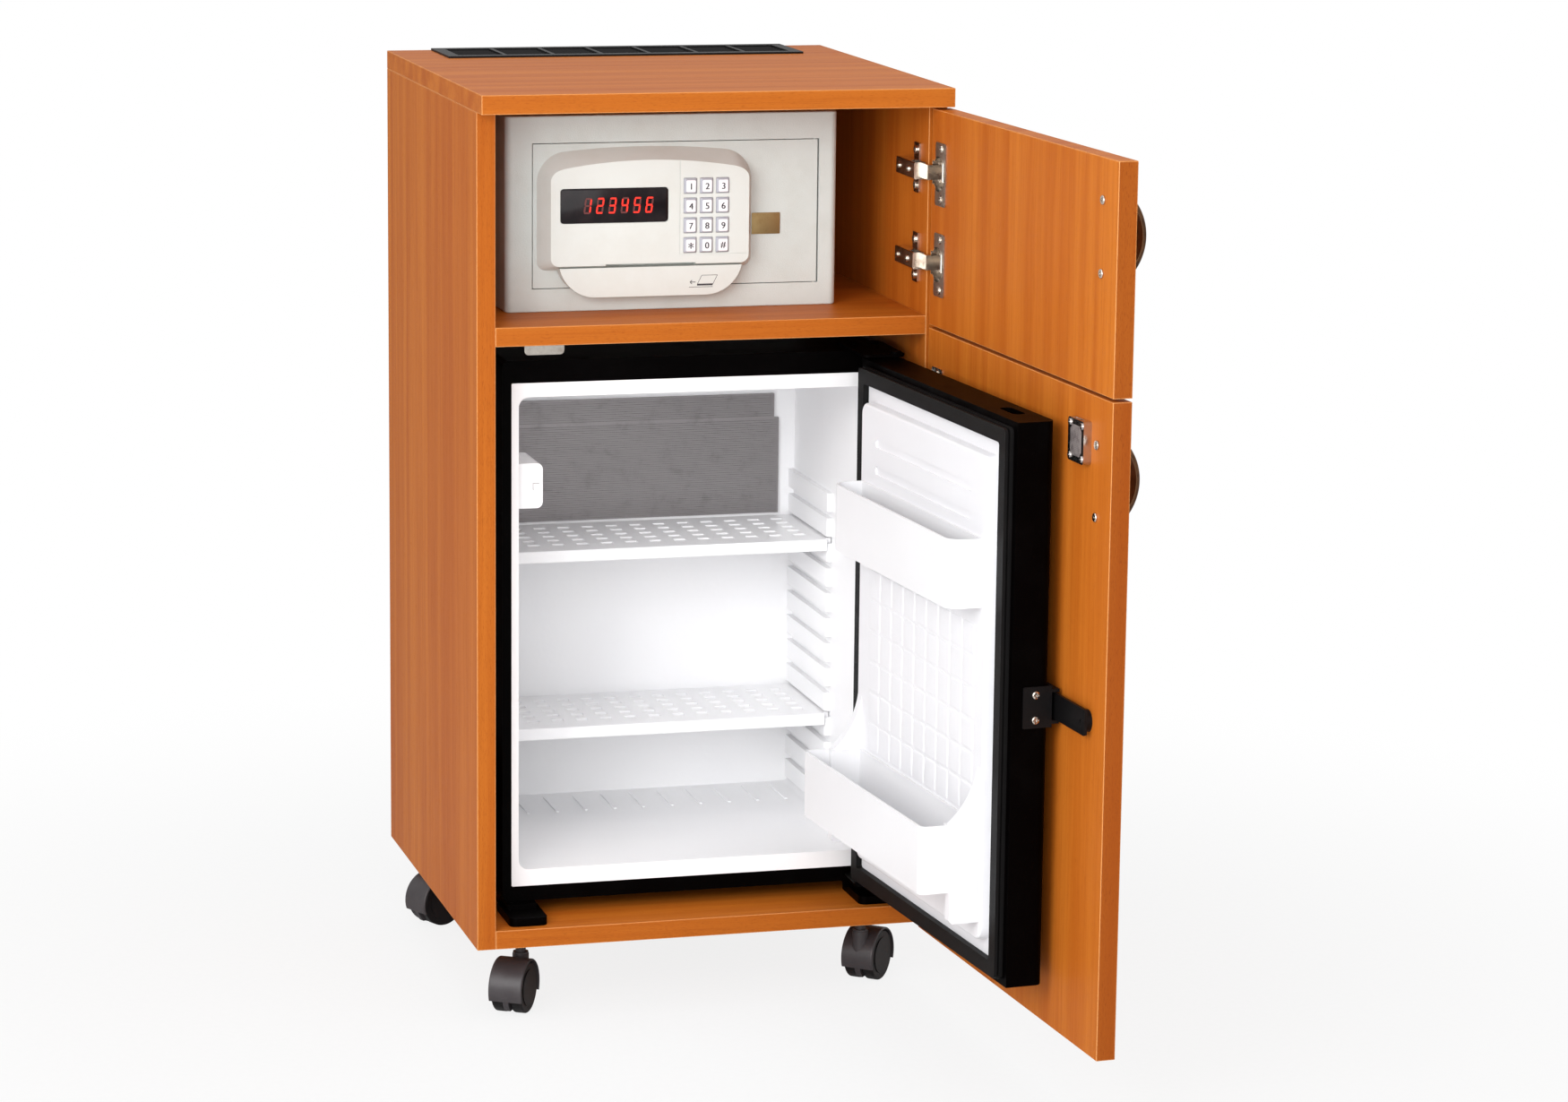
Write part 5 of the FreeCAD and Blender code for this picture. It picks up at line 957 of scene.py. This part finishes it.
class MINIBAR_OT_stage(bpy.types.Operator):
    """Pale floor, soft lamps and the camera"""

    bl_idname = "minibar.stage"
    bl_label = "Stage"

    def execute(self, context):
        self.floor()
        self.sky(context)
        self.lamps(context)
        self.camera(context)
        context.scene.view_settings.view_transform = "Standard"
        return {"FINISHED"}

    def floor(self):
        shape = bmesh.new()
        bmesh.ops.create_circle(shape, cap_ends=True, radius=60.0, segments=96)
        mesh = mesh_of(shape, "floor", True)
        sheet = Sheet(self.material("pale_floor", mesh))
        here = sheet.node("ShaderNodeTexCoord", output=3)
        far = sheet.node("ShaderNodeVectorMath", {"operation": "LENGTH"}, {0: here}, output=1).above(0.5, 1.5)
        seen = sheet.node("ShaderNodeLightPath")
        speck = sheet.noise(here, scale=140.0, detail=3.0)
        tone = sheet.mix(speck.above(0.3, 0.7), tint(214, 214, 214), tint(208, 208, 208))
        plain = sheet.node("ShaderNodeBsdfDiffuse", None, {"Color": tone})
        white = sheet.node("ShaderNodeEmission", None, {"Color": (1, 1, 1, 1), "Strength": 1.0})
        cover = sheet.node("ShaderNodeMixShader", None, {0: (0.84 + far * 0.16) * seen, 1: plain, 2: white})
        sheet.node("ShaderNodeOutputMaterial", None, {"Surface": cover})
        floor = bpy.data.objects.new("floor", mesh)
        bpy.context.scene.collection.objects.link(floor)

    def material(self, name, mesh):
        made = bpy.data.materials.new(name)
        made.use_nodes = True
        mesh.materials.append(made)
        return made.node_tree

    def sky(self, context):
        """White where it is seen, softer where it lights, and darker low down in metal."""
        world = bpy.data.worlds.new("studio")
        world.use_nodes = True
        context.scene.world = world
        sheet = Sheet(world.node_tree)
        paths = sheet.node("ShaderNodeLightPath")
        ways = paths.socket.node.outputs
        camera = Wire(sheet, ways["Is Camera Ray"])
        glossy = Wire(sheet, ways["Is Glossy Ray"])
        glassy = Wire(sheet, ways["Is Transmission Ray"])
        direction = sheet.node("ShaderNodeTexCoord", output=0)
        split = sheet.node("ShaderNodeSeparateXYZ", None, {0: direction})
        behind = Wire(sheet, split.socket.node.outputs["Y"]).above(-0.2, 0.5)
        up = Wire(sheet, split.socket.node.outputs["Z"]).above(-0.25, 0.35)
        shaded = (0.45 + up * 0.55) * (1 - behind * (0.6 - up * 0.5))
        bright = sheet.node("ShaderNodeMath", {"operation": "MAXIMUM"}, {0: camera, 1: glassy})
        sky = context.scene.minibar_stage.sky
        power = bright + (1 - bright) * (glossy * shaded + (1 - glossy) * sky)
        light = sheet.node("ShaderNodeBackground", None, {"Color": (1, 1, 1, 1), "Strength": power})
        sheet.node("ShaderNodeOutputWorld", None, {"Surface": light})

    def lamps(self, context):
        stage = context.scene.minibar_stage
        middle = (0.05, 0.15, 0.4)
        rows = (
            ("key_lamp", (-2.1, -1.9, 1.5), middle, stage.key, 1.6),
            ("front_lamp", (-1.1, -3.1, 1.2), middle, stage.front, 2.4),
            ("fill_lamp", (2.1, -2.6, 1.5), middle, stage.fill, 1.8),
            ("top_lamp", (0.1, -0.6, 3.0), middle, stage.top, 2.2),
            ("cold_lamp", (-0.05, 0.085, 0.59), middle, stage.cold, 0.06),
        )
        for name, place, aim, watts, size in rows:
            light = bpy.data.lights.new(name, "AREA")
            light.energy = watts
            light.shape = "SQUARE"
            light.size = size
            lamp = bpy.data.objects.new(name, light)
            lamp.location = place
            lamp.rotation_euler = (Vector(aim) - Vector(place)).to_track_quat("-Z", "Y").to_euler()
            lamp.visible_camera = False
            context.scene.collection.objects.link(lamp)

    def camera(self, context):
        """The photograph's own viewpoint: 1750 pixels wide, 5158 pixels to the picture plane."""
        azimuth, down, roll = (math.radians(value) for value in (15.72, 11.28, 0.68))
        level = math.cos(down)
        ahead = Vector((math.sin(azimuth) * level, math.cos(azimuth) * level, -math.sin(down)))
        right = Vector((math.cos(azimuth), -math.sin(azimuth), 0))
        up = right.cross(ahead)
        side = right * math.cos(roll) + up * math.sin(roll)
        upper = up * math.cos(roll) - right * math.sin(roll)
        data = bpy.data.cameras.new("camera")
        data.sensor_fit = "HORIZONTAL"
        data.sensor_width = 36.0
        data.lens = 5158 / 1750 * data.sensor_width
        made = bpy.data.objects.new("camera", data)
        turn = Matrix((side, upper, -ahead)).transposed().to_4x4()
        made.matrix_world = Matrix.Translation((-1.102, -4.170, 1.3167)) @ turn
        context.scene.collection.objects.link(made)
        context.scene.camera = made


class MINIBAR_PT_pieces(bpy.types.Panel):
    """Buttons for the pieces, in the order in which they are made"""

    bl_idname = "MINIBAR_PT_pieces"
    bl_label = "Minibar"
    bl_space_type = "VIEW_3D"
    bl_region_type = "UI"
    bl_category = "Minibar"

    def draw(self, context):
        for operator in OPERATORS:
            self.layout.operator(operator.bl_idname)


OPERATORS = (
    MINIBAR_OT_stage,
    MINIBAR_OT_boards,
    MINIBAR_OT_cold_box,
    MINIBAR_OT_fittings,
    MINIBAR_OT_safe_shell,
    MINIBAR_OT_keys,
    MINIBAR_OT_display,
    MINIBAR_OT_plate,
    MINIBAR_OT_card_sign,
    MINIBAR_OT_lock_cover,
    MINIBAR_OT_fork_screws,
    MINIBAR_OT_tiles,
)
SETTINGS = {
    "minibar_wood": WoodSettings,
    "minibar_tiles": TileSettings,
    "minibar_safe": SafeSettings,
    "minibar_stage": StageSettings,
}


def register():
    for made in (*SETTINGS.values(), *OPERATORS, MINIBAR_PT_pieces):
        bpy.utils.register_class(made)
    for name, settings in SETTINGS.items():
        setattr(bpy.types.Scene, name, bpy.props.PointerProperty(type=settings))


def unregister():
    for name in SETTINGS:
        delattr(bpy.types.Scene, name)
    for made in reversed((*SETTINGS.values(), *OPERATORS, MINIBAR_PT_pieces)):
        bpy.utils.unregister_class(made)


def main():
    register()
    for operator in OPERATORS:
        family, name = operator.bl_idname.split(".")
        getattr(getattr(bpy.ops, family), name)()


if __name__ == "__main__":
    main()
